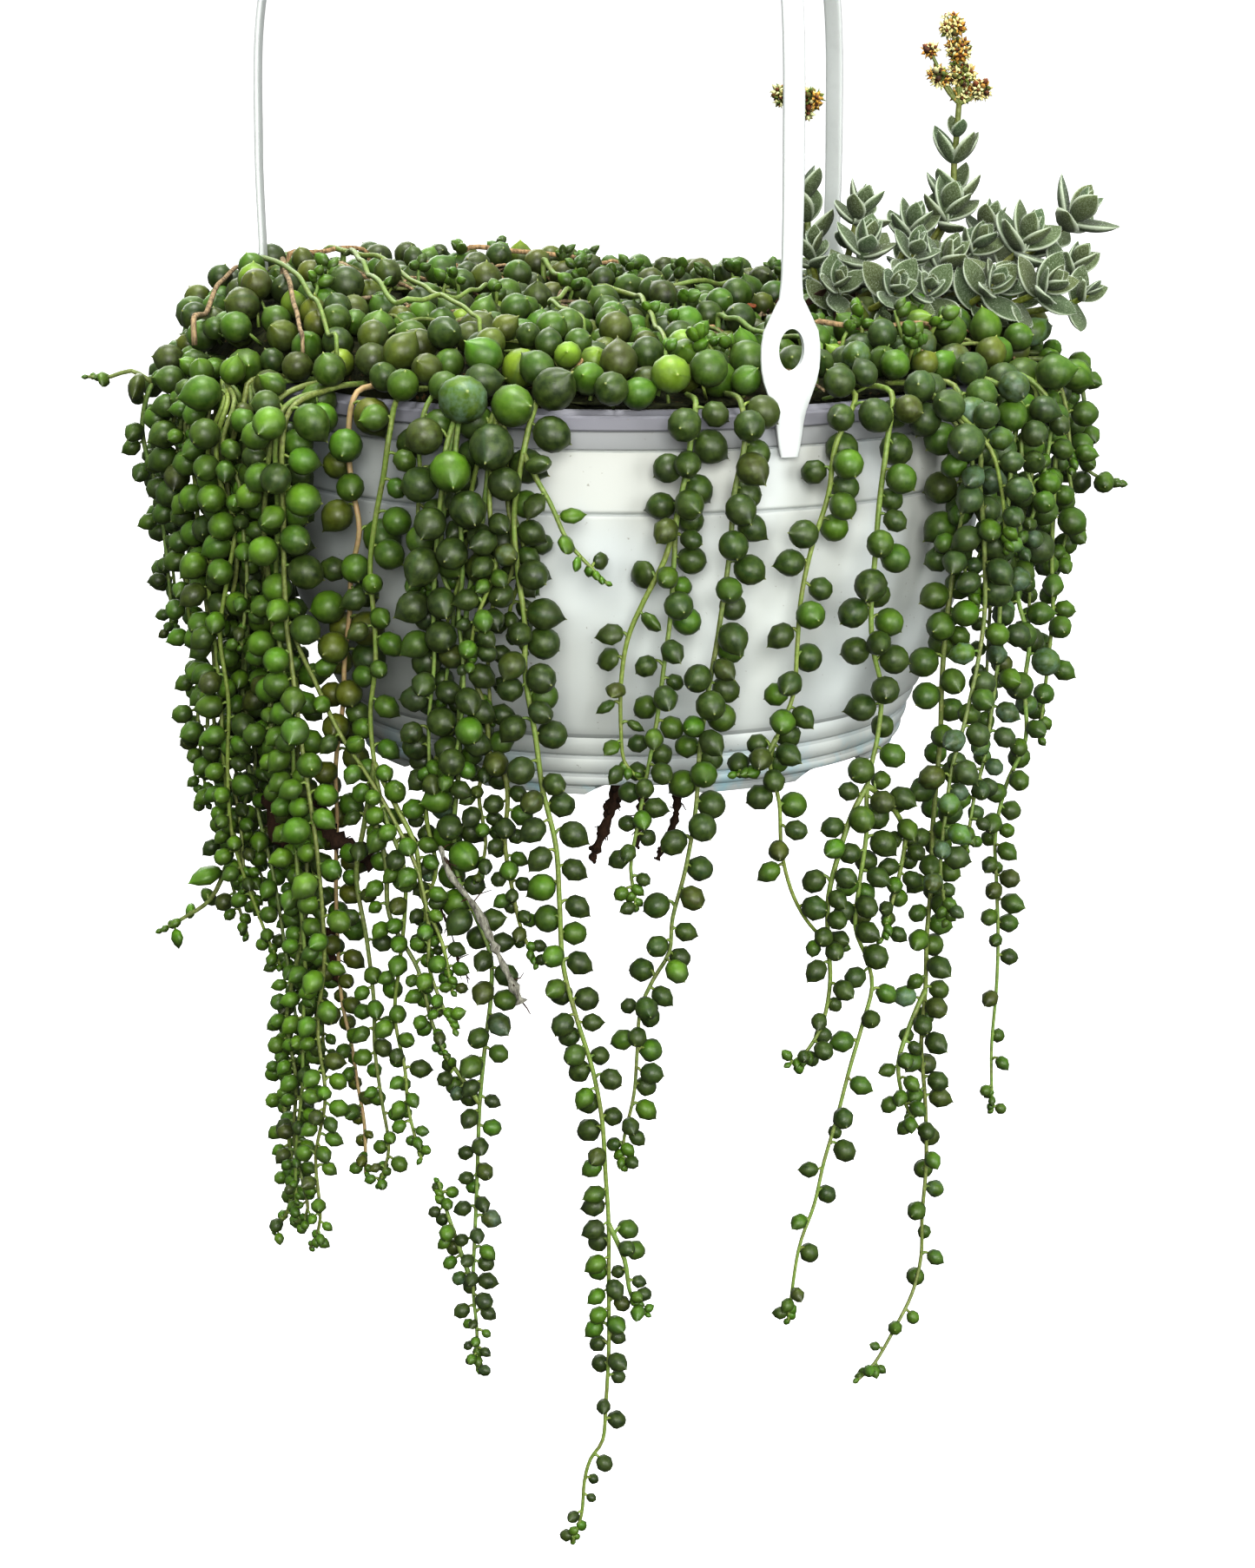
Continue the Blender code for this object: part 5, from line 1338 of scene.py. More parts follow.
def add_loose_stem(heap, rng, place, lift):
    """One short stem tangled in the thatch."""
    x, y = place.x, place.y
    if math.hypot(x, y) > LOOSE_REACH:
        return
    heading = rng.uniform(0, math.tau)
    length = rng.uniform(14, 34)
    path = []
    for i in range(5):
        heading += rng.uniform(-0.5, 0.5)
        path.append(on_mat(x, y, lift - 2.0 + 3.5 * math.sin(math.pi * i / 4.0) + rng.uniform(-1, 1)))
        x += math.cos(heading) * length / 4
        y += math.sin(heading) * length / 4
    tone, slot = ("dry", 2) if rng.random() < 0.55 else ("stem_old", 1)
    add_tube(heap, smooth_path(path, 3.0), 0.8, 0.5, 5, vary(tone, rng), slot)


def mat_pearl_radius(point, rng):
    """Pearls are largest towards the front and the right."""
    front = max(0.0, -point.y) / 120.0
    right = max(0.0, point.x) / 120.0
    radius = rng.triangular(3.9, 6.4, 5.0) * (1.0 + 0.08 * front + 0.04 * right)
    if rng.random() < 0.03 + 0.06 * front:
        radius *= 1.2
    return min(radius, 6.9)


def mat_tone(point, rng):
    """Tones mix across the mat: fresh ones among dusky and deep ones, dusty towards the right."""
    roll = rng.random()
    return pick(MAT_TONES, roll, "blue" if point.x > 70 and roll < 0.84 else "mid")


def mat_side(point):
    """Which of the three pieces of the mat a point belongs to."""
    return "left" if point.x < -MAT_MIDDLE else ("right" if point.x > MAT_MIDDLE else "middle")


def in_well(point, margin):
    """Whether a point is where the crassula grows, by a margin."""
    return (Vector((point.x, point.y, 0)) - Vector((*WELL_CENTRE, 0))).length < WELL_RADIUS + margin


def seat_in_mat(crowd, point, normal, bearing, radius):
    """The centre of a pearl, lifted off the mat until it has room. None where it finds no room."""
    centre = point + normal * radius * 0.1
    if abs(bearing) < MAT_FRONT_BEARING and centre.z < LIP_TOP + radius * MAT_SEAT:
        centre.z = LIP_TOP + radius * MAT_SEAT
    for _ in range(PLACE_TRIES):
        if crowd.space(centre, radius) > -MAT_OVERLAP * radius:
            return centre
        centre += normal * MAT_LIFT
    return None


def add_mat_pearl(heap, point, normal, centre, radius, rng):
    """One pearl of the mat, with the short stem that it grows on."""
    tint = vary(mat_tone(point, rng), rng)
    way = normal * 0.55 + stray(rng, 1, 1, -0.5, 0.7)
    template = bead_shape(rng.random() < 0.3, radius)
    bloom = 0.75 * rng.random() if point.x > 60 and rng.random() < 0.5 else 0.1 * rng.random()
    add_bead(heap, template, centre, way, radius * 0.97, tint, rng, rng.uniform(0.93, 1.0), bloom)
    foot = centre - way.normalized() * radius * 0.9
    add_tube(heap, [point - normal * 3.0, foot], 0.7, 0.45, 4, vary("stem", rng), 1)


def make_mat_pearls(crowd, materials):
    """Whole pearls packed over the mat, the top first and then its rounded rim."""
    rng = random.Random(SEED + 1)
    heaps = {"left": Heap(), "middle": Heap(), "right": Heap()}
    for i in range(MAT_TOP_TRIES + MAT_RIM_TRIES):
        t = math.sqrt(rng.random()) * 0.97 if i < MAT_TOP_TRIES else 1.0 - 0.09 * rng.random() ** 2
        bearing = rng.uniform(-180, 180)
        point, normal = mat_point(t, bearing), mat_normal(t, bearing)
        hollow = any(math.hypot(point.x - x, point.y - y) < size for x, y, size in HOLLOWS)
        if hollow or in_well(point, -13.0):
            continue
        radius = mat_pearl_radius(point, rng)
        centre = seat_in_mat(crowd, point, normal, bearing, radius)
        if centre:
            add_mat_pearl(heaps[mat_side(point)], point, normal, centre, radius, rng)
            crowd.add(centre, radius, "mat")
    sprouts = random.Random(SEED + 2)
    for _ in range(MAT_SPROUTS):
        add_sprout(heaps, crowd, sprouts)
    return [heap.build("mat_pearls_" + side, materials) for side, heap in heaps.items()]


def add_sprout(heaps, crowd, rng):
    """One young shoot that stands up from the mat, with small fresh leaves round its tip."""
    bearing, t = rng.uniform(-180, 180), math.sqrt(rng.random()) * 0.96
    base = mat_point(t, bearing)
    if in_well(base, 4.0):
        return
    heap = heaps[mat_side(base)]
    lean = Vector((rng.uniform(-0.5, 0.5), rng.uniform(-0.5, 0.5), 1.0)).normalized()
    height = rng.uniform(9, 15)
    tip = base + lean * height + Vector((rng.uniform(-2, 2), 0, 0))
    path = [base - lean * 3, base + lean * height * 0.6, tip]
    add_tube(heap, path, 0.8, 0.55, 6, vary("stem", rng), 1)
    for _ in range(rng.randint(3, 6)):
        spot = path[1].lerp(path[2], rng.uniform(0.1, 1.1))
        way = polar(1, rng.uniform(0, 360), rng.uniform(0.3, 1.3)).normalized()
        radius = rng.uniform(1.6, 2.9)
        centre = spot + way * radius * 1.1
        if crowd.room(centre, radius, "mat") > -1.0:
            add_bead(heap, LEMONS[2], centre, way, radius, vary("fresh", rng), rng, rng.uniform(0.6, 0.9))


def leaf_margin(u):
    """Half the leaf's width, as a share of its full width, at a share of its length."""
    return 0.5 * math.sin(math.pi * min(1.0, u) ** 1.1) ** 0.7


def leaf_lift(u, half):
    """How far a leaf's skin rises, as a share of its length: it curves up and is dished across."""
    return 0.24 * u * u + 0.7 * (half * LEAF_WIDTH) ** 2


def leaf_thickness(u):
    """Half a leaf's thickness, as a share of its length, at a share of its length."""
    return 0.085 * math.sin(math.pi * min(1.0, u * 1.02)) ** 0.6 + 0.012


def leaf_template(stations, sides):
    """A thick blunt-oval leaf along X, its root at the origin, its upper face towards Z, of length one."""
    points, marks = [], []
    for i in range(stations):
        u = (i + 0.35) / (stations - 0.3)
        half = leaf_margin(u)
        thick = leaf_thickness(u)
        for k in range(sides):
            turn = math.tau * k / sides
            across, up = math.cos(turn), math.sin(turn)
            skin = up * thick * (0.7 if up > 0 else 1.3)
            points.append((u, half * across, skin + leaf_lift(u, half * across)))
            marks.append((abs(across), u, 0.0))
    points += [(0, 0, 0), (1.02, 0, leaf_lift(1.0, 0.0))]
    marks += [(0, 0, 0), (1, 1, 0)]
    return np.array(points), ring_faces(stations, sides), np.array(marks)


LEAF = leaf_template(11, 12)


def add_leaf(heap, root, way, up, length, tint, rng):
    """Adds one woolly leaf, painted with shade towards its root and on its underside, with hairs along its
    margin and on its upper skin.
    """
    way = way.normalized()
    across = way.cross(up).normalized()
    normal = across.cross(way).normalized()
    if normal.dot(up) < 0:
        normal, across = -normal, -across
    points, faces, marks = LEAF
    width = length * LEAF_WIDTH * rng.uniform(0.92, 1.08)
    basis = np.array([way * length, across * width, normal * length])
    # Painted shade: the leaf's tone is darker towards its root and on its underside
    under = np.where(points[:, 2] < 0.2 * points[:, 0] ** 2, 0.72, 1.0)
    painted_shade = np.clip(0.5 + 0.75 * marks[:, 1], 0.0, 1.0) * under
    start = root - way * 1.2
    heap.add(points @ basis + np.array(start), faces, tint * painted_shade[:, None], marks)
    for side in (-1, 1):
        for k in range(MARGIN_HAIRS):
            u = 0.16 + 0.83 * k / (MARGIN_HAIRS - 1)
            half = leaf_margin(u)
            lift = leaf_lift(u, half)
            edge = start + way * length * u + across * width * half * side * 0.99 + normal * length * lift
            lean = across * side * (1.0 - 0.7 * u ** 4) + way * (0.35 + u) + normal * rng.uniform(-0.5, 0.5)
            add_hair(heap, edge, lean.normalized(), rng.uniform(0.45, 0.85))
    for _ in range(SKIN_HAIRS):
        u, v = rng.uniform(0.2, 0.97), rng.uniform(-0.85, 0.85)
        half = leaf_margin(u) * v
        rise = leaf_lift(u, half) + 0.7 * leaf_thickness(u) * math.sqrt(1.0 - v * v)
        skin = start + way * length * u + across * width * half + normal * length * rise
        lean = normal + way * rng.uniform(0.0, 0.9) + across * rng.uniform(-0.5, 0.5)
        add_hair(heap, skin, lean.normalized(), rng.uniform(0.35, 0.6))


def add_hair(heap, root, way, length):
    """Adds one hair as a thin three-sided spike."""
    side = way.orthogonal().normalized() * 0.06
    other = way.cross(side)
    base = root - way * 0.25
    back = base - side * 0.5
    points = [base + side, back + other * 0.87, back - other * 0.87, root + way * length]
    faces = [np.array([(0, 1, 3), (1, 2, 3), (2, 0, 3), (0, 2, 1)])]
    heap.add([tuple(point) for point in points], faces, TONES["wool"], None, 1)


def add_rosette(heap, centre, stem_way, length, pairs, rng):
    """Crossed pairs of leaves round a shoot, the lower ones longer and lying flatter."""
    up = stem_way.normalized()
    side = up.orthogonal().normalized()
    start = rng.uniform(0, 90)
    for pair in range(pairs):
        share = pair / max(1, pairs - 1)
        for turn in (0, 180):
            rise = 0.1 + 2.0 * share ** 1.3 + rng.uniform(-0.1, 0.1)
            size = length * (1.05 - 0.5 * share) * rng.uniform(0.9, 1.08)
            root = centre + up * (7.0 * share - 4.0 + rng.uniform(-0.4, 0.4))
            swing = start + turn + 90 * (pair % 2) + 14 * pair + rng.uniform(-9, 9)
            way = (rotated(side, swing, up) + up * rise).normalized()
            tint = vary("wool", rng, 0.1) * (0.82 + 0.25 * share)
            add_leaf(heap, root, way, up, size, tint, rng)


def add_dead_leaf(heap, fork, rng):
    """One shrivelled brown leaf that has dropped round the foot of a plant."""
    x, y = fork.x + rng.uniform(-26, 24), fork.y + rng.uniform(-30, 12)
    root = on_mat(x, y, rng.uniform(-1.0, 7.0))
    way = stray(rng, 1, 1, -0.6, 0.8)
    points, faces, marks = LEAF
    scale = rng.uniform(7.0, 12.0) * np.array([[1.0], [0.3], [0.7]])
    basis = frame_along(way, rng.uniform(0, math.tau))[[2, 0, 1]] * scale
    tone = rng.choice(["dry", "brown", "rust", "brown"])
    heap.add(points @ basis + np.array(root), faces, vary(tone, rng), marks, 2)


def make_crassulas(materials):
    """The three crassula plants: branching stems with woolly rosettes."""
    made = []
    for number, (place, rosettes) in enumerate(CRASSULAS, 1):
        rng = random.Random("crassula %d" % number)
        heap = Heap()
        fork = Vector((*place, 22.0))
        trunk = smooth_path([Vector((*place, -7.0)), fork - Vector((0, 0, 8)), fork], 4.0)
        add_tube(heap, trunk, 1.8, 1.5, 8, vary("brown", rng), 2)
        for centre, length, pairs in rosettes:
            centre = Vector(centre)
            bend = fork.lerp(centre, 0.6) + Vector((0, 0, -3))
            lean = Vector((rng.uniform(-0.3, 0.3), rng.uniform(-0.75, -0.2), 0.6))
            way = (centre - bend).normalized() + lean
            ahead = way.normalized()
            path = smooth_path([fork, bend, centre - ahead * 3, centre + ahead * 3.0], 3.0)
            add_tube(heap, path, 1.4, 1.0, 8, vary("olive", rng), 3)
            add_rosette(heap, centre, way, length, pairs, rng)
            if pairs > 3:
                add_rosette(heap, centre - ahead * 8, way, length * 0.9, 2, rng)
        for _ in range(14):
            add_dead_leaf(heap, fork, rng)
        piece = heap.build("crassula_plant_%d" % number, materials)
        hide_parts("crassula_%d" % number)
        made.append(piece)
    return made


def add_floret(heap, centre, way, size, rng):
    """One open flower: five pointed petals round a small cup."""
    way = way.normalized()
    side = way.orthogonal().normalized()
    start = rng.uniform(0, 72)
    tint = vary(rng.choice(["cream", "cream", "cream", "gold", "stem"]), rng, 0.12)
    for k in range(5):
        out = rotated(side, start + 72 * k, way)
        across = way.cross(out)
        fold = centre + out * size * 0.55
        points = [centre, fold + across * size * 0.3 + way * size * 0.12,
                  centre + out * size + way * size * 0.45, fold - across * size * 0.3 + way * size * 0.12,
                  centre + out * size * 0.5 - way * size * 0.12]
        faces = [np.array([(0, 1, 2), (0, 2, 3), (0, 4, 1), (1, 4, 2), (2, 4, 3), (3, 4, 0)])]
        heap.add([tuple(point) for point in points], faces, tint, None, 4)
    add_bead(heap, SPECK, centre + way * size * 0.15, way, size * 0.28, vary("rust", rng), rng, 1.0, 0.0, 4)


def add_cluster(heap, root, centre, radius, rng):
    """One knot of a flower head: a short stalk, then buds and open flowers that cover a ball."""
    stalk = smooth_path([root, root.lerp(centre, 0.5) + Vector((0, 0, -1)), centre], 2.0)
    add_tube(heap, stalk, 0.8, 0.6, 6, vary("stem_old", rng), 3)
    count = round(1.15 * radius * radius)
    for k in range(count):
        rise = 1.0 - 2.0 * (k + 0.5) / count
        way = polar(math.sqrt(1 - rise * rise), GOLDEN_TURN * k, rise) + Vector((0, 0, 0.15))
        spot = centre + way * radius * rng.uniform(0.4, 0.85)
        add_tube(heap, [centre, spot], 0.4, 0.35, 5, vary("stem_old", rng), 3)
        if rng.random() < 0.7:
            add_floret(heap, spot, way, rng.uniform(2.1, 2.8), rng)
        else:
            tone = rng.choice(["cream", "gold", "rust", "brown", "stem", "stem"])
            add_bead(heap, SPECK, spot, way, rng.uniform(0.9, 1.5), vary(tone, rng), rng, 1.0, 0.0, 4)


def make_stalks(materials):
    """The flower stalks: woolly paired leaves on the way up, then a crowded head of buds and flowers."""
    made = []
    for number, (place, bends, leaves, head) in enumerate(FLOWER_STALKS, 1):
        rng = random.Random("stalk %d" % number)
        heap = Heap()
        bends = [Vector(bend) for bend in bends]
        path = smooth_path([Vector((*place, -7.0)), Vector((*place, 20.0))] + bends, 4.0)
        add_tube(heap, path, 1.5, 1.0, 8, vary("stem_old", rng), 3)
        for index, level in enumerate(leaves):
            spot = min(path, key=lambda point: abs(point.z - level))
            for turn in (0, 180):
                way = polar(1, turn + 80 * index + 60 + rng.uniform(-15, 15), rng.uniform(0.6, 1.0))
                size = rng.uniform(13.0, 16.5) if index < len(leaves) - 1 else 9.0
                add_leaf(heap, spot, way, Vector((0, 0, 1)), size, vary("wool", rng, 0.1), rng)
        for offset, radius in head:
            add_cluster(heap, bends[-1], bends[-1] + Vector(offset), radius, rng)
        piece = heap.build("flower_head_%d" % number, materials)
        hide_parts("flower_stalk_%d" % number)
        made.append(piece)
    return made


def make_roots(bark):
    """Roots that hang from the front drain hole, knotted and hung with finer ones."""
    rng = random.Random(SEED + 3)
    heap = Heap()
    for thick, route in DRAIN_ROOTS:
        path = smooth_path([Vector(point) for point in route], 1.6)
        radii = [thick * (1.0 - 0.62 * i / len(path)) * rng.uniform(0.6, 1.4) for i in range(len(path))]
        points, faces = tube(path, radii, 8)
        heap.add(points, faces, vary("brown", rng))
        for _ in range(ROOT_CRUMBS):
            near = rng.randrange(len(path))
            size = rng.uniform(0.3, 0.62) * thick * (1.0 - 0.5 * near / len(path))
            crumb = path[near] + polar(0.8 * radii[near], rng.uniform(0, 360), rng.uniform(-1, 1))
            tint = vary("brown", rng, 0.3)
            add_bead(heap, bead_shape(False, size), crumb, Vector((0, 0, 1)), size, tint, rng, 0.8)
        for _ in range(ROOTLETS):
            spot = path[rng.randrange(len(path) // 3, len(path) - 1)]
            tip = spot + stray(rng, 1, 0.4, -1.2, 0.1).normalized() * rng.uniform(2.0, 5.0)
            tip.z = max(tip.z, ROOT_BOTTOM)
            middle = spot.lerp(tip, 0.5) + Vector((0.4, 0, 0.3))
            add_tube(heap, [spot, middle, tip], 0.35, 0.15, 5, vary("brown", rng))
    piece = heap.build("hanging_roots", [bark])
    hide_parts("drain_roots")
    return piece


def ring_solid(profile, sides, shape=None):
    """A turned closed solid from the axis round its section and back. Shape moves single points."""
    shape = shape or (lambda point, bearing: point)
    points = [tuple(Vector((0, 0, profile[0][1]))), tuple(Vector((0, 0, profile[-1][1])))]
    for radius, z in profile[1:-1]:
        for i in range(sides):
            bearing = 360.0 * i / sides
            points.append(tuple(shape(polar(radius, bearing, z), bearing)))
    faces = []
    rows = len(profile) - 2
    for i in range(sides):
        j = (i + 1) % sides
        last = 2 + (rows - 1) * sides
        faces.append((0, 2 + i, 2 + j))
        faces.append((1, last + j, last + i))
        for k in range(rows - 1):
            a, b = 2 + k * sides, 2 + (k + 1) * sides
            faces.append((a + i, b + i, b + j, a + j))
    return points, faces


def mesh_object(name, points, faces, drop=RIM_BELOW_HOOK):
    """A plain mesh object in metres, faces turned outwards. Drop is how far below the hook heights start."""
    mesh = bpy.data.meshes.new(name)
    mesh.from_pydata([(x * MM, y * MM, (z - drop) * MM) for x, y, z in points], [], faces)
    shape = bmesh.new()
    shape.from_mesh(mesh)
    bmesh.ops.recalc_face_normals(shape, faces=shape.faces)
    shape.to_mesh(mesh)
    shape.free()
    return show(name, mesh)


def combine(obj, shapes, operation, drop=RIM_BELOW_HOOK):
    """Joins shapes to an object, or cuts them from it, and keeps the result."""
    group = bpy.data.collections.new(obj.name + "_shapes")
    bpy.context.scene.collection.children.link(group)
    for index, (points, faces) in enumerate(shapes):
        shape = mesh_object("%s_shape_%d" % (obj.name, index), points, faces, drop)
        bpy.context.scene.collection.objects.unlink(shape)
        group.objects.link(shape)
    modifier = obj.modifiers.new("combine", "BOOLEAN")
    modifier.operation = operation
    modifier.solver = "EXACT"
    modifier.operand_type = "COLLECTION"
    modifier.collection = group
    graph = bpy.context.evaluated_depsgraph_get()
    mesh = bpy.data.meshes.new_from_object(obj.evaluated_get(graph))
    obj.modifiers.remove(modifier)
    obj.data = mesh
    for member in list(group.objects):
        bpy.data.objects.remove(member)
    bpy.data.collections.remove(group)


def repaint(obj, material):
    """Gives an object one material in place of those it has."""
    obj.data.materials.clear()
    obj.data.materials.append(material)


def smooth_by_angle(obj, degrees, material):
    """Smooth shading that keeps edges sharper than an angle, and the object's material."""
    repaint(obj, material)
    obj.data.shade_smooth()
    obj.data.set_sharp_from_angle(angle=math.radians(degrees))


def notch_lift(bearing):
    """How far the foot ring is cut up at a bearing."""
    away = abs((bearing - NOTCH_BEARING + 180.0 / NOTCHES) % (360.0 / NOTCHES) - 180.0 / NOTCHES)
    share = min(1.0, max(0.0, (NOTCH_HALF_ANGLE - away) / 3.0))
    return (FOOT_DROP - NOTCH_TOP) * share * share * (3 - 2 * share)


def cut_notches(point, bearing):
    """Raises the points of the foot ring in its notches."""
    if point.z >= -NOTCH_TOP:
        return point
    return Vector((point.x, point.y, max(point.z, -FOOT_DROP + notch_lift(bearing))))


def pot_profile():
    """The pot's section: foot, three rounded ridges, bowl, groove, collar, stepped lip, then the inside."""
    foot = [(-2.6, -FLOOR_UNDER), (-2.4, -FOOT_DROP + 0.3), (-2.0, -FOOT_DROP), (-0.4, -FOOT_DROP),
            (0.0, -FOOT_DROP + 0.4)]
    outer = [(FOOT_RADIUS + out, z) for out, z in foot]
    for i in range(3, 0, -1):
        for step in range(9):
            share = step / 9.0
            z = -RIDGE_DROPS[i] + (RIDGE_DROPS[i] - RIDGE_DROPS[i - 1]) * share
            radius = RIDGE_RADII[i] + (RIDGE_RADII[i - 1] - RIDGE_RADII[i]) * share
            outer.append((radius + RIDGE_BULGE * math.sin(math.pi * share) ** 0.7, z))
    drop = RIDGE_DROPS[0] - 0.6
    while drop > WALL_STRAIGHT:
        depth = 0.9 * math.exp(-((drop - GROOVE_DROP) / 0.55) ** 2)
        outer.append((wall_radius(-drop) - depth, -drop))
        drop -= 0.4 if abs(drop - GROOVE_DROP) < 2.0 else 3.0
    collar = [(-0.1, -0.9), (-0.75, -0.35), (0.1, 0.0), (0.4, 0.5)]
    outer += [(WALL_RADIUS + out, -COLLAR_DROP + up) for out, up in collar]
    outer += [(WALL_RADIUS + 0.4, -0.4), (WALL_RADIUS + 0.8, -0.05)]
    lip = [(-0.5, 0.0), (0.0, 0.5), (0.0, 3.9), (-0.5, 4.6), (-2.4, 5.0), (-3.2, 5.7), (-4.0, LIP_TOP)]
    outer += [(LIP_RADIUS + out, z) for out, z in lip]
    outer += [(LIP_INNER + 0.5, LIP_TOP), (LIP_INNER, LIP_TOP - 0.5)]
    inner = [(wall_radius(-z) - WALL_THICK, -z) for z in (2.0, 14.0, 30.0, 46.0, 62.0, 78.0, 94.0, 104.0)]
    inner.append((RIDGE_RADII[2] - WALL_THICK, -FLOOR_TOP))
    return [(0, -FLOOR_UNDER)] + outer + inner + [(0, -FLOOR_TOP)]


def make_pot(material):
    """The bowl, with notches in its foot ring and round drain holes."""
    points, faces = ring_solid(pot_profile(), POT_SIDES, cut_notches)
    pot = mesh_object("bowl", points, faces)
    drills = []
    low, high = -FLOOR_UNDER - 3, -FLOOR_TOP + 3
    for i in range(DRAINS):
        middle = polar(DRAIN_RING, 360.0 * i / DRAINS, 0)
        points, faces = ring_solid([(0, low), (DRAIN_RADIUS, low), (DRAIN_RADIUS, high), (0, high)], 24)
        drills.append(([(x + middle.x, y + middle.y, z) for x, y, z in points], faces))
    combine(pot, drills, "DIFFERENCE")
    smooth_by_angle(pot, 32, material)
    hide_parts("pot")
    return pot


def arm_sections():
    """Middle line and half width of an arm, from its clip to its head, as radius, half width and height."""
    low = CLIP_REACH + CLIP_GAP + ARM_THICK / 2
    hub = RIM_BELOW_HOOK + HUB_TOP
    foot = [(low, 2.9, -9), (low, 3.6, -6), (low, 4.2, -2), (low, 5.5, 5), (low, 9.0, 14),
            (low, SPADE_HALF_WIDTH, 21), (low, 9.2, 29), (low, 5.0, 37), (low, ARM_HALF_WIDTH, 44)]
    bow = [(low + 0.4, 80), (low - 2, 125), (low - 14, 170), (low - 38, 212), (low - 68, 245),
           (low - 96, 268), (18, 284), (HUB_SLOT_RADIUS + 1.2, hub - HUB_THICK - 4),
           (HUB_SLOT_RADIUS, hub - HUB_THICK), (HUB_SLOT_RADIUS, hub + 2.5)]
    return [Vector(row) for row in foot] + [Vector((radius, ARM_HALF_WIDTH, z)) for radius, z in bow]


def make_arm(number, bearing, material):
    """A flat strap with rounded edges: clip under the lip, pierced spade, long bow and a head on the hub."""
    sections = smooth_path(arm_sections(), 4.0)
    turn = Matrix.Rotation(math.radians(bearing), 3, "Z")
    outline = []
    for k in range(ARM_SIDES):
        angle = math.tau * (k + 0.5) / ARM_SIDES
        outline.append((math.copysign(abs(math.cos(angle)) ** 0.35, math.cos(angle)),
                        math.copysign(abs(math.sin(angle)) ** 0.55, math.sin(angle))))
    points = []
    for i, section in enumerate(sections):
        before, after = sections[max(i - 1, 0)], sections[min(i + 1, len(sections) - 1)]
        ahead = Vector((after.x - before.x, after.z - before.z)).normalized()
        for across, depth in outline:
            shift = depth * ARM_THICK / 2
            radius = section.x + ahead.y * shift
            point = Vector((across * section.y, -radius, section.z - ahead.x * shift))
            points.append(tuple(turn @ point))
    faces = [tuple(reversed(range(ARM_SIDES))), tuple(range(len(points) - ARM_SIDES, len(points)))]
    for i in range(len(sections) - 1):
        a, b = ARM_SIDES * i, ARM_SIDES * (i + 1)
        for k in range(ARM_SIDES):
            after = (k + 1) % ARM_SIDES
            faces.append((a + k, a + after, b + after, b + k))
    arm = mesh_object("strap_%d" % number, points, faces)
    low, hub = CLIP_REACH + CLIP_GAP, RIM_BELOW_HOOK + HUB_TOP
    nib = block((-3.0, 3.0), (-low - 1.0, -WALL_RADIUS - 0.9), (-3.0, -0.4), turn)
    depths = (-HUB_SLOT_RADIUS - 2.2, -HUB_SLOT_RADIUS + 2.2)
    head = block((-6.0, 6.0), depths, (hub + 0.35, hub + 3.2), turn)
    combine(arm, [nib, head], "UNION")
    combine(arm, [oval_drill(low, turn)], "DIFFERENCE")
    bevel = arm.modifiers.new("soft_edges", "BEVEL")
    bevel.width = 0.25 * MM
    bevel.segments = 2
    bevel.limit_method = "ANGLE"
    bevel.angle_limit = math.radians(50)
    smooth_by_angle(arm, 50, material)
    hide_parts("hanger_arm_%d" % number)
    return arm


def block(across, depth, heights, turn):
    """A block between limits across, in depth and in height, turned about the axis."""
    points = [tuple(turn @ Vector((x, y, z))) for z in heights for x, y in
              ((across[0], depth[0]), (across[1], depth[0]), (across[1], depth[1]), (across[0], depth[1]))]
    return points, [(3, 2, 1, 0), (4, 5, 6, 7), (0, 1, 5, 4), (1, 2, 6, 5), (2, 3, 7, 6), (3, 0, 4, 7)]


def oval_drill(reach, turn):
    """The oval that pierces the spade."""
    count = 28
    points = []
    for depth in (reach - 3, reach + 5):
        for k in range(count):
            angle = math.tau * k / count
            across, up = SPADE_HOLE * math.cos(angle), 1.5 * SPADE_HOLE * math.sin(angle)
            points.append(tuple(turn @ Vector((across, -depth, SPADE_HEIGHT + up))))
    faces = [tuple(range(count)), tuple(range(2 * count - 1, count - 1, -1))]
    faces += [(k, count + k, count + (k + 1) % count, (k + 1) % count) for k in range(count)]
    return points, faces


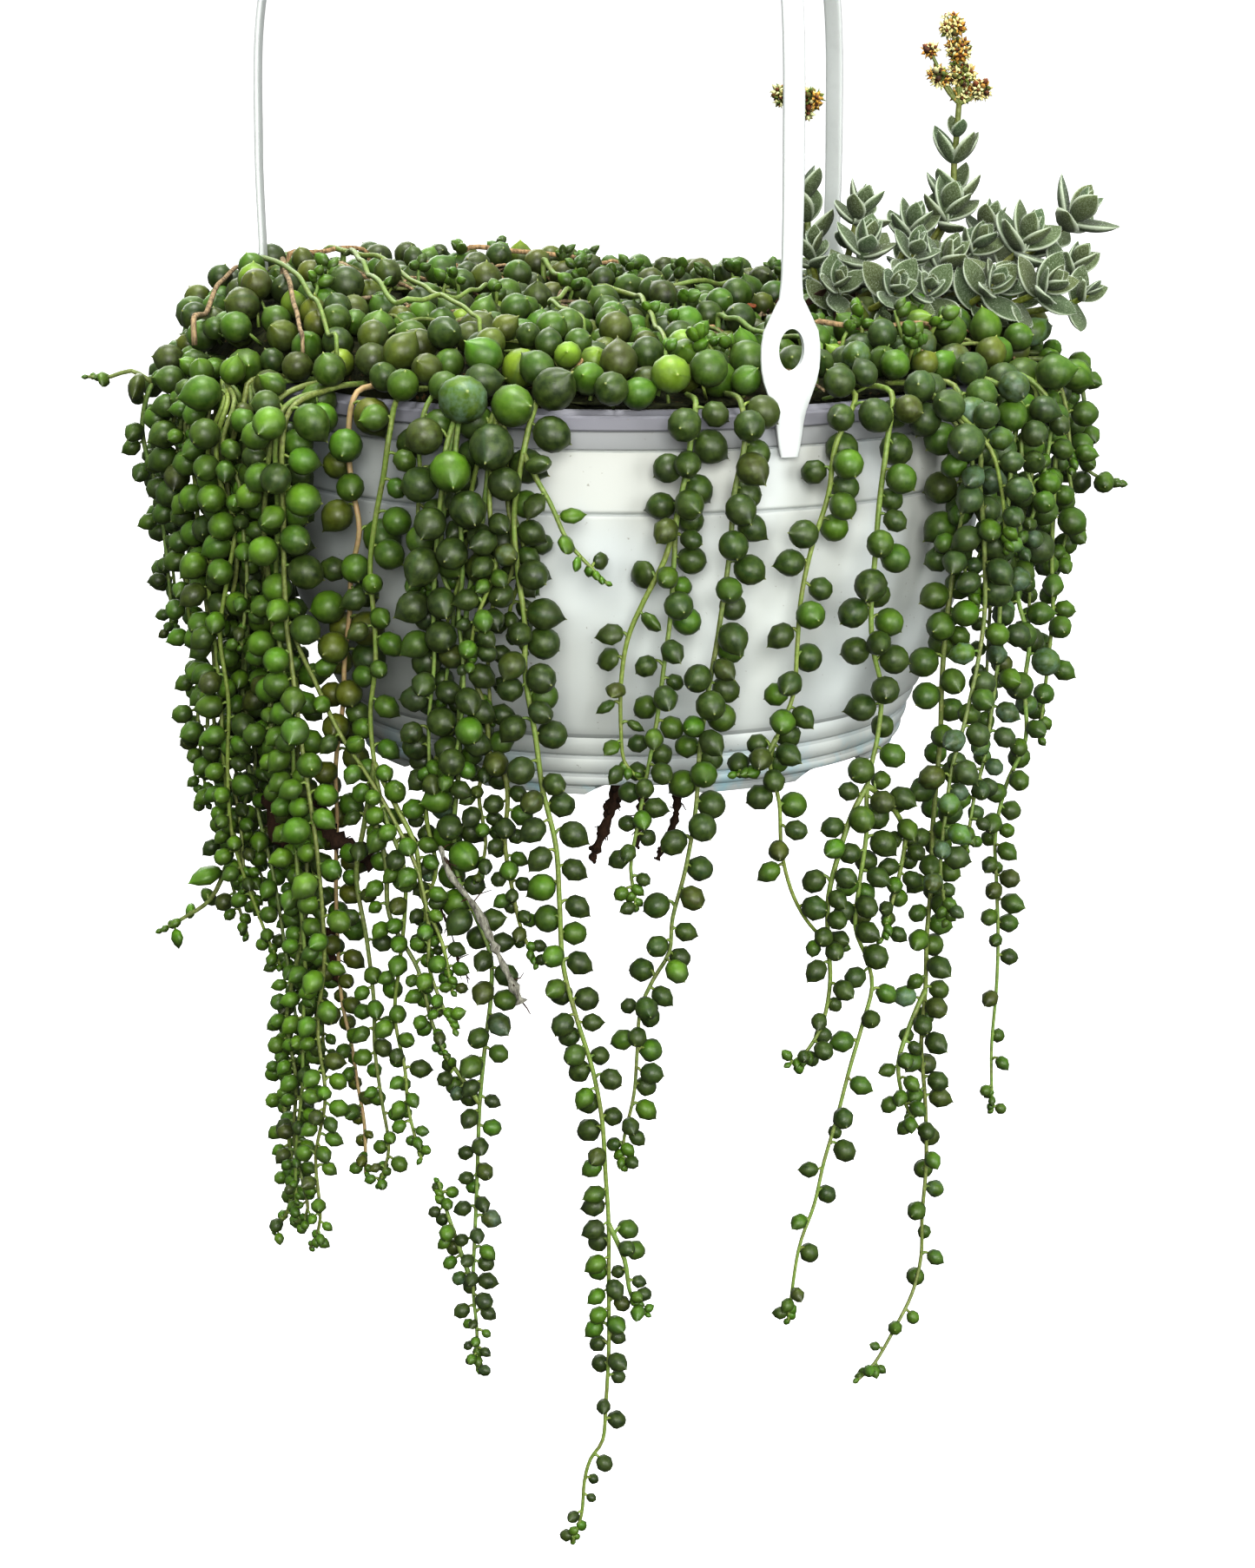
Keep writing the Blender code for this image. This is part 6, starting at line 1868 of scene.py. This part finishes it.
def make_hook(material):
    """The hub disc with its slots, and the hook that rises from it. Heights are from the origin."""
    low = HUB_TOP - HUB_THICK
    disc = [(-1, low), (-0.3, low + 0.3), (0, low + 1), (0, HUB_TOP - 1), (-0.3, HUB_TOP - 0.3),
            (-1, HUB_TOP)]
    profile = [(0, low)] + [(HUB_RADIUS + out, z) for out, z in disc]
    profile += [(5.4, HUB_TOP), (4.0, HUB_TOP + 0.8), (3.3, HUB_TOP + 4), (0, HUB_TOP + 4)]
    points, faces = ring_solid(profile, 64)
    hook = mesh_object("hook", points, faces, 0.0)
    bend = HOOK_THROAT + HOOK_ROD - 0.4
    shank = [(0, HUB_TOP + 1), (0, -45), (0, -40), (1.2, -35.5), (6.5, -30), (13.3, -23)]
    path = [Vector((x, 0, z)) for x, z in shank]
    for step in range(25):
        turn = math.pi * step / 24
        path.append(Vector((bend * math.cos(turn), 0, -HOOK_THROAT + bend * math.sin(turn))))
    path += [Vector((-bend + 0.1, 0, -HOOK_THROAT - 3)), Vector((-bend + 0.6, 0, -HOOK_THROAT - 7))]
    path = smooth_path(path, 2.5)
    points, faces = tube(path, [HOOK_ROD - 0.18] * len(path), 20)
    combine(hook, [(points, [tuple(face) for group in faces for face in group.tolist()])], "UNION", 0.0)
    wide, deep = ARM_HALF_WIDTH + 0.4, ARM_THICK / 2 + 0.5
    depths = (-HUB_SLOT_RADIUS - deep, -HUB_SLOT_RADIUS + deep)
    slots = []
    for bearing in ARM_BEARINGS:
        turn = Matrix.Rotation(math.radians(bearing), 3, "Z")
        slots.append(block((-wide, wide), depths, (low - 2, HUB_TOP + 2), turn))
    combine(hook, slots, "DIFFERENCE", 0.0)
    smooth_by_angle(hook, 40, material)
    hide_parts("hanger_hook")
    return hook


def watch_arms(crowd):
    """Marks the arms as taken, so that no pearl meets them."""
    sections = smooth_path(arm_sections(), 3.0)
    for bearing in ARM_BEARINGS:
        across = polar(1, bearing + 90, 0)
        for section in sections:
            middle = polar(section.x, bearing, section.z)
            for shift in (-0.7, 0.0, 0.7):
                crowd.add(middle + across * section.y * shift, section.y * 0.3 + 0.9, "arm")


def make_floor():
    """A plain pale floor far below the hanging pot."""
    size, level = FLOOR_SIZE, -(RIM_BELOW_HOOK + FLOOR_DROP) * MM
    mesh = bpy.data.meshes.new("floor")
    corners = [(-size, -size, level), (size, -size, level), (size, size, level), (-size, size, level)]
    mesh.from_pydata(corners, [], [(0, 1, 2, 3)])
    paint = Paint("floor_paint", 0.9, 0.1)
    paint.color(paint.mix(paint.noise(400.0, 1.0), (0.90, 0.90, 0.90), (0.92, 0.92, 0.92)))
    paint.put("Emission Color", (1.0, 1.0, 1.0))
    paint.put("Emission Strength", 0.6)
    mesh.materials.append(paint.material)
    floor = show("floor", mesh)
    floor.visible_diffuse = False
    floor.visible_glossy = False
    floor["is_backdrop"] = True


def make_sky():
    """A white background, and a soft grey light that comes mostly from above."""
    world = bpy.data.worlds.new("sky")
    world.use_nodes = True
    sky = Nodes(world.node_tree, "Generated")
    height = sky.split("ShaderNodeSeparateXYZ", sky.place)[2]
    light = sky.stops(sky.math("MULTIPLY_ADD", height, 0.5, 0.5), SKY)
    seen = sky.node("ShaderNodeLightPath").outputs["Is Camera Ray"]
    background = world.node_tree.nodes["Background"]
    sky.feed(background.inputs["Color"], sky.mix(seen, light, (1.0, 1.0, 1.0)))
    bpy.context.scene.world = world


def make_lights():
    """Soft square lights that face the pot."""
    middle = Vector((0, 0, -RIM_BELOW_HOOK * MM - 0.05))
    for name, place, size, power, color in LIGHTS:
        light = bpy.data.lights.new(name, "AREA")
        light.size = size
        light.energy = power
        light.color = color
        obj = show(name, light)
        obj.location = place
        obj.rotation_euler = (middle - Vector(place)).to_track_quat("-Z", "Y").to_euler()
        obj.visible_camera = False


def make_camera():
    """The camera at the place and angle that the photograph was taken from."""
    camera = bpy.data.cameras.new("photo_camera")
    camera.lens = CAMERA_LENS
    camera.sensor_width = CAMERA_SENSOR
    camera.clip_end = 100.0
    obj = show("photo_camera", camera)
    obj.location = (0, -CAMERA_BACK * MM, (CAMERA_UP - RIM_BELOW_HOOK) * MM)
    obj.rotation_euler = (math.radians(90.0 - CAMERA_PITCH), 0, 0)
    bpy.context.scene.camera = obj


def main(frame):
    """Makes every piece, hangs each on the body it rides on, and then the studio."""
    pearl, stem, bark = pearl_paint(), stem_paint(), bark_paint()
    crowd = Crowd(Bounds(*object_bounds()))
    watch_arms(crowd)
    pieces = [(make_pot(pot_paint()), "pot_plastic")]
    hanger = hanger_paint()
    pieces += [(make_arm(i, bearing, hanger), "hanger_plastic") for i, bearing in enumerate(ARM_BEARINGS, 1)]
    pieces.append((make_hook(hanger), "hanger_plastic"))
    pieces += make_strings(crowd, [pearl, stem, bark])
    pieces.append((make_thatch(crowd, [thatch_paint(), stem, bark]), "pearl"))
    leaf_materials = [wool_paint(), hair_paint(), bark, stem, petal_paint()]
    pieces += [(piece, "crassula_leaf") for piece in make_crassulas(leaf_materials)]
    pieces += [(piece, "flower") for piece in make_stalks(leaf_materials)]
    pieces += [(piece, "pearl") for piece in make_mat_pearls(crowd, [pearl, stem])]
    pieces.append((make_roots(bark), "root"))
    for piece, slot in pieces:
        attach(piece, "root")
    repaint(frame["nodes"]["soil"], soil_paint())
    make_floor()
    make_sky()
    make_lights()
    make_camera()
    screen = bpy.context.scene.view_settings
    screen.view_transform = "Standard"
    screen.exposure = EXPOSURE
    screen.gamma = GAMMA


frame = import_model()
main(frame)
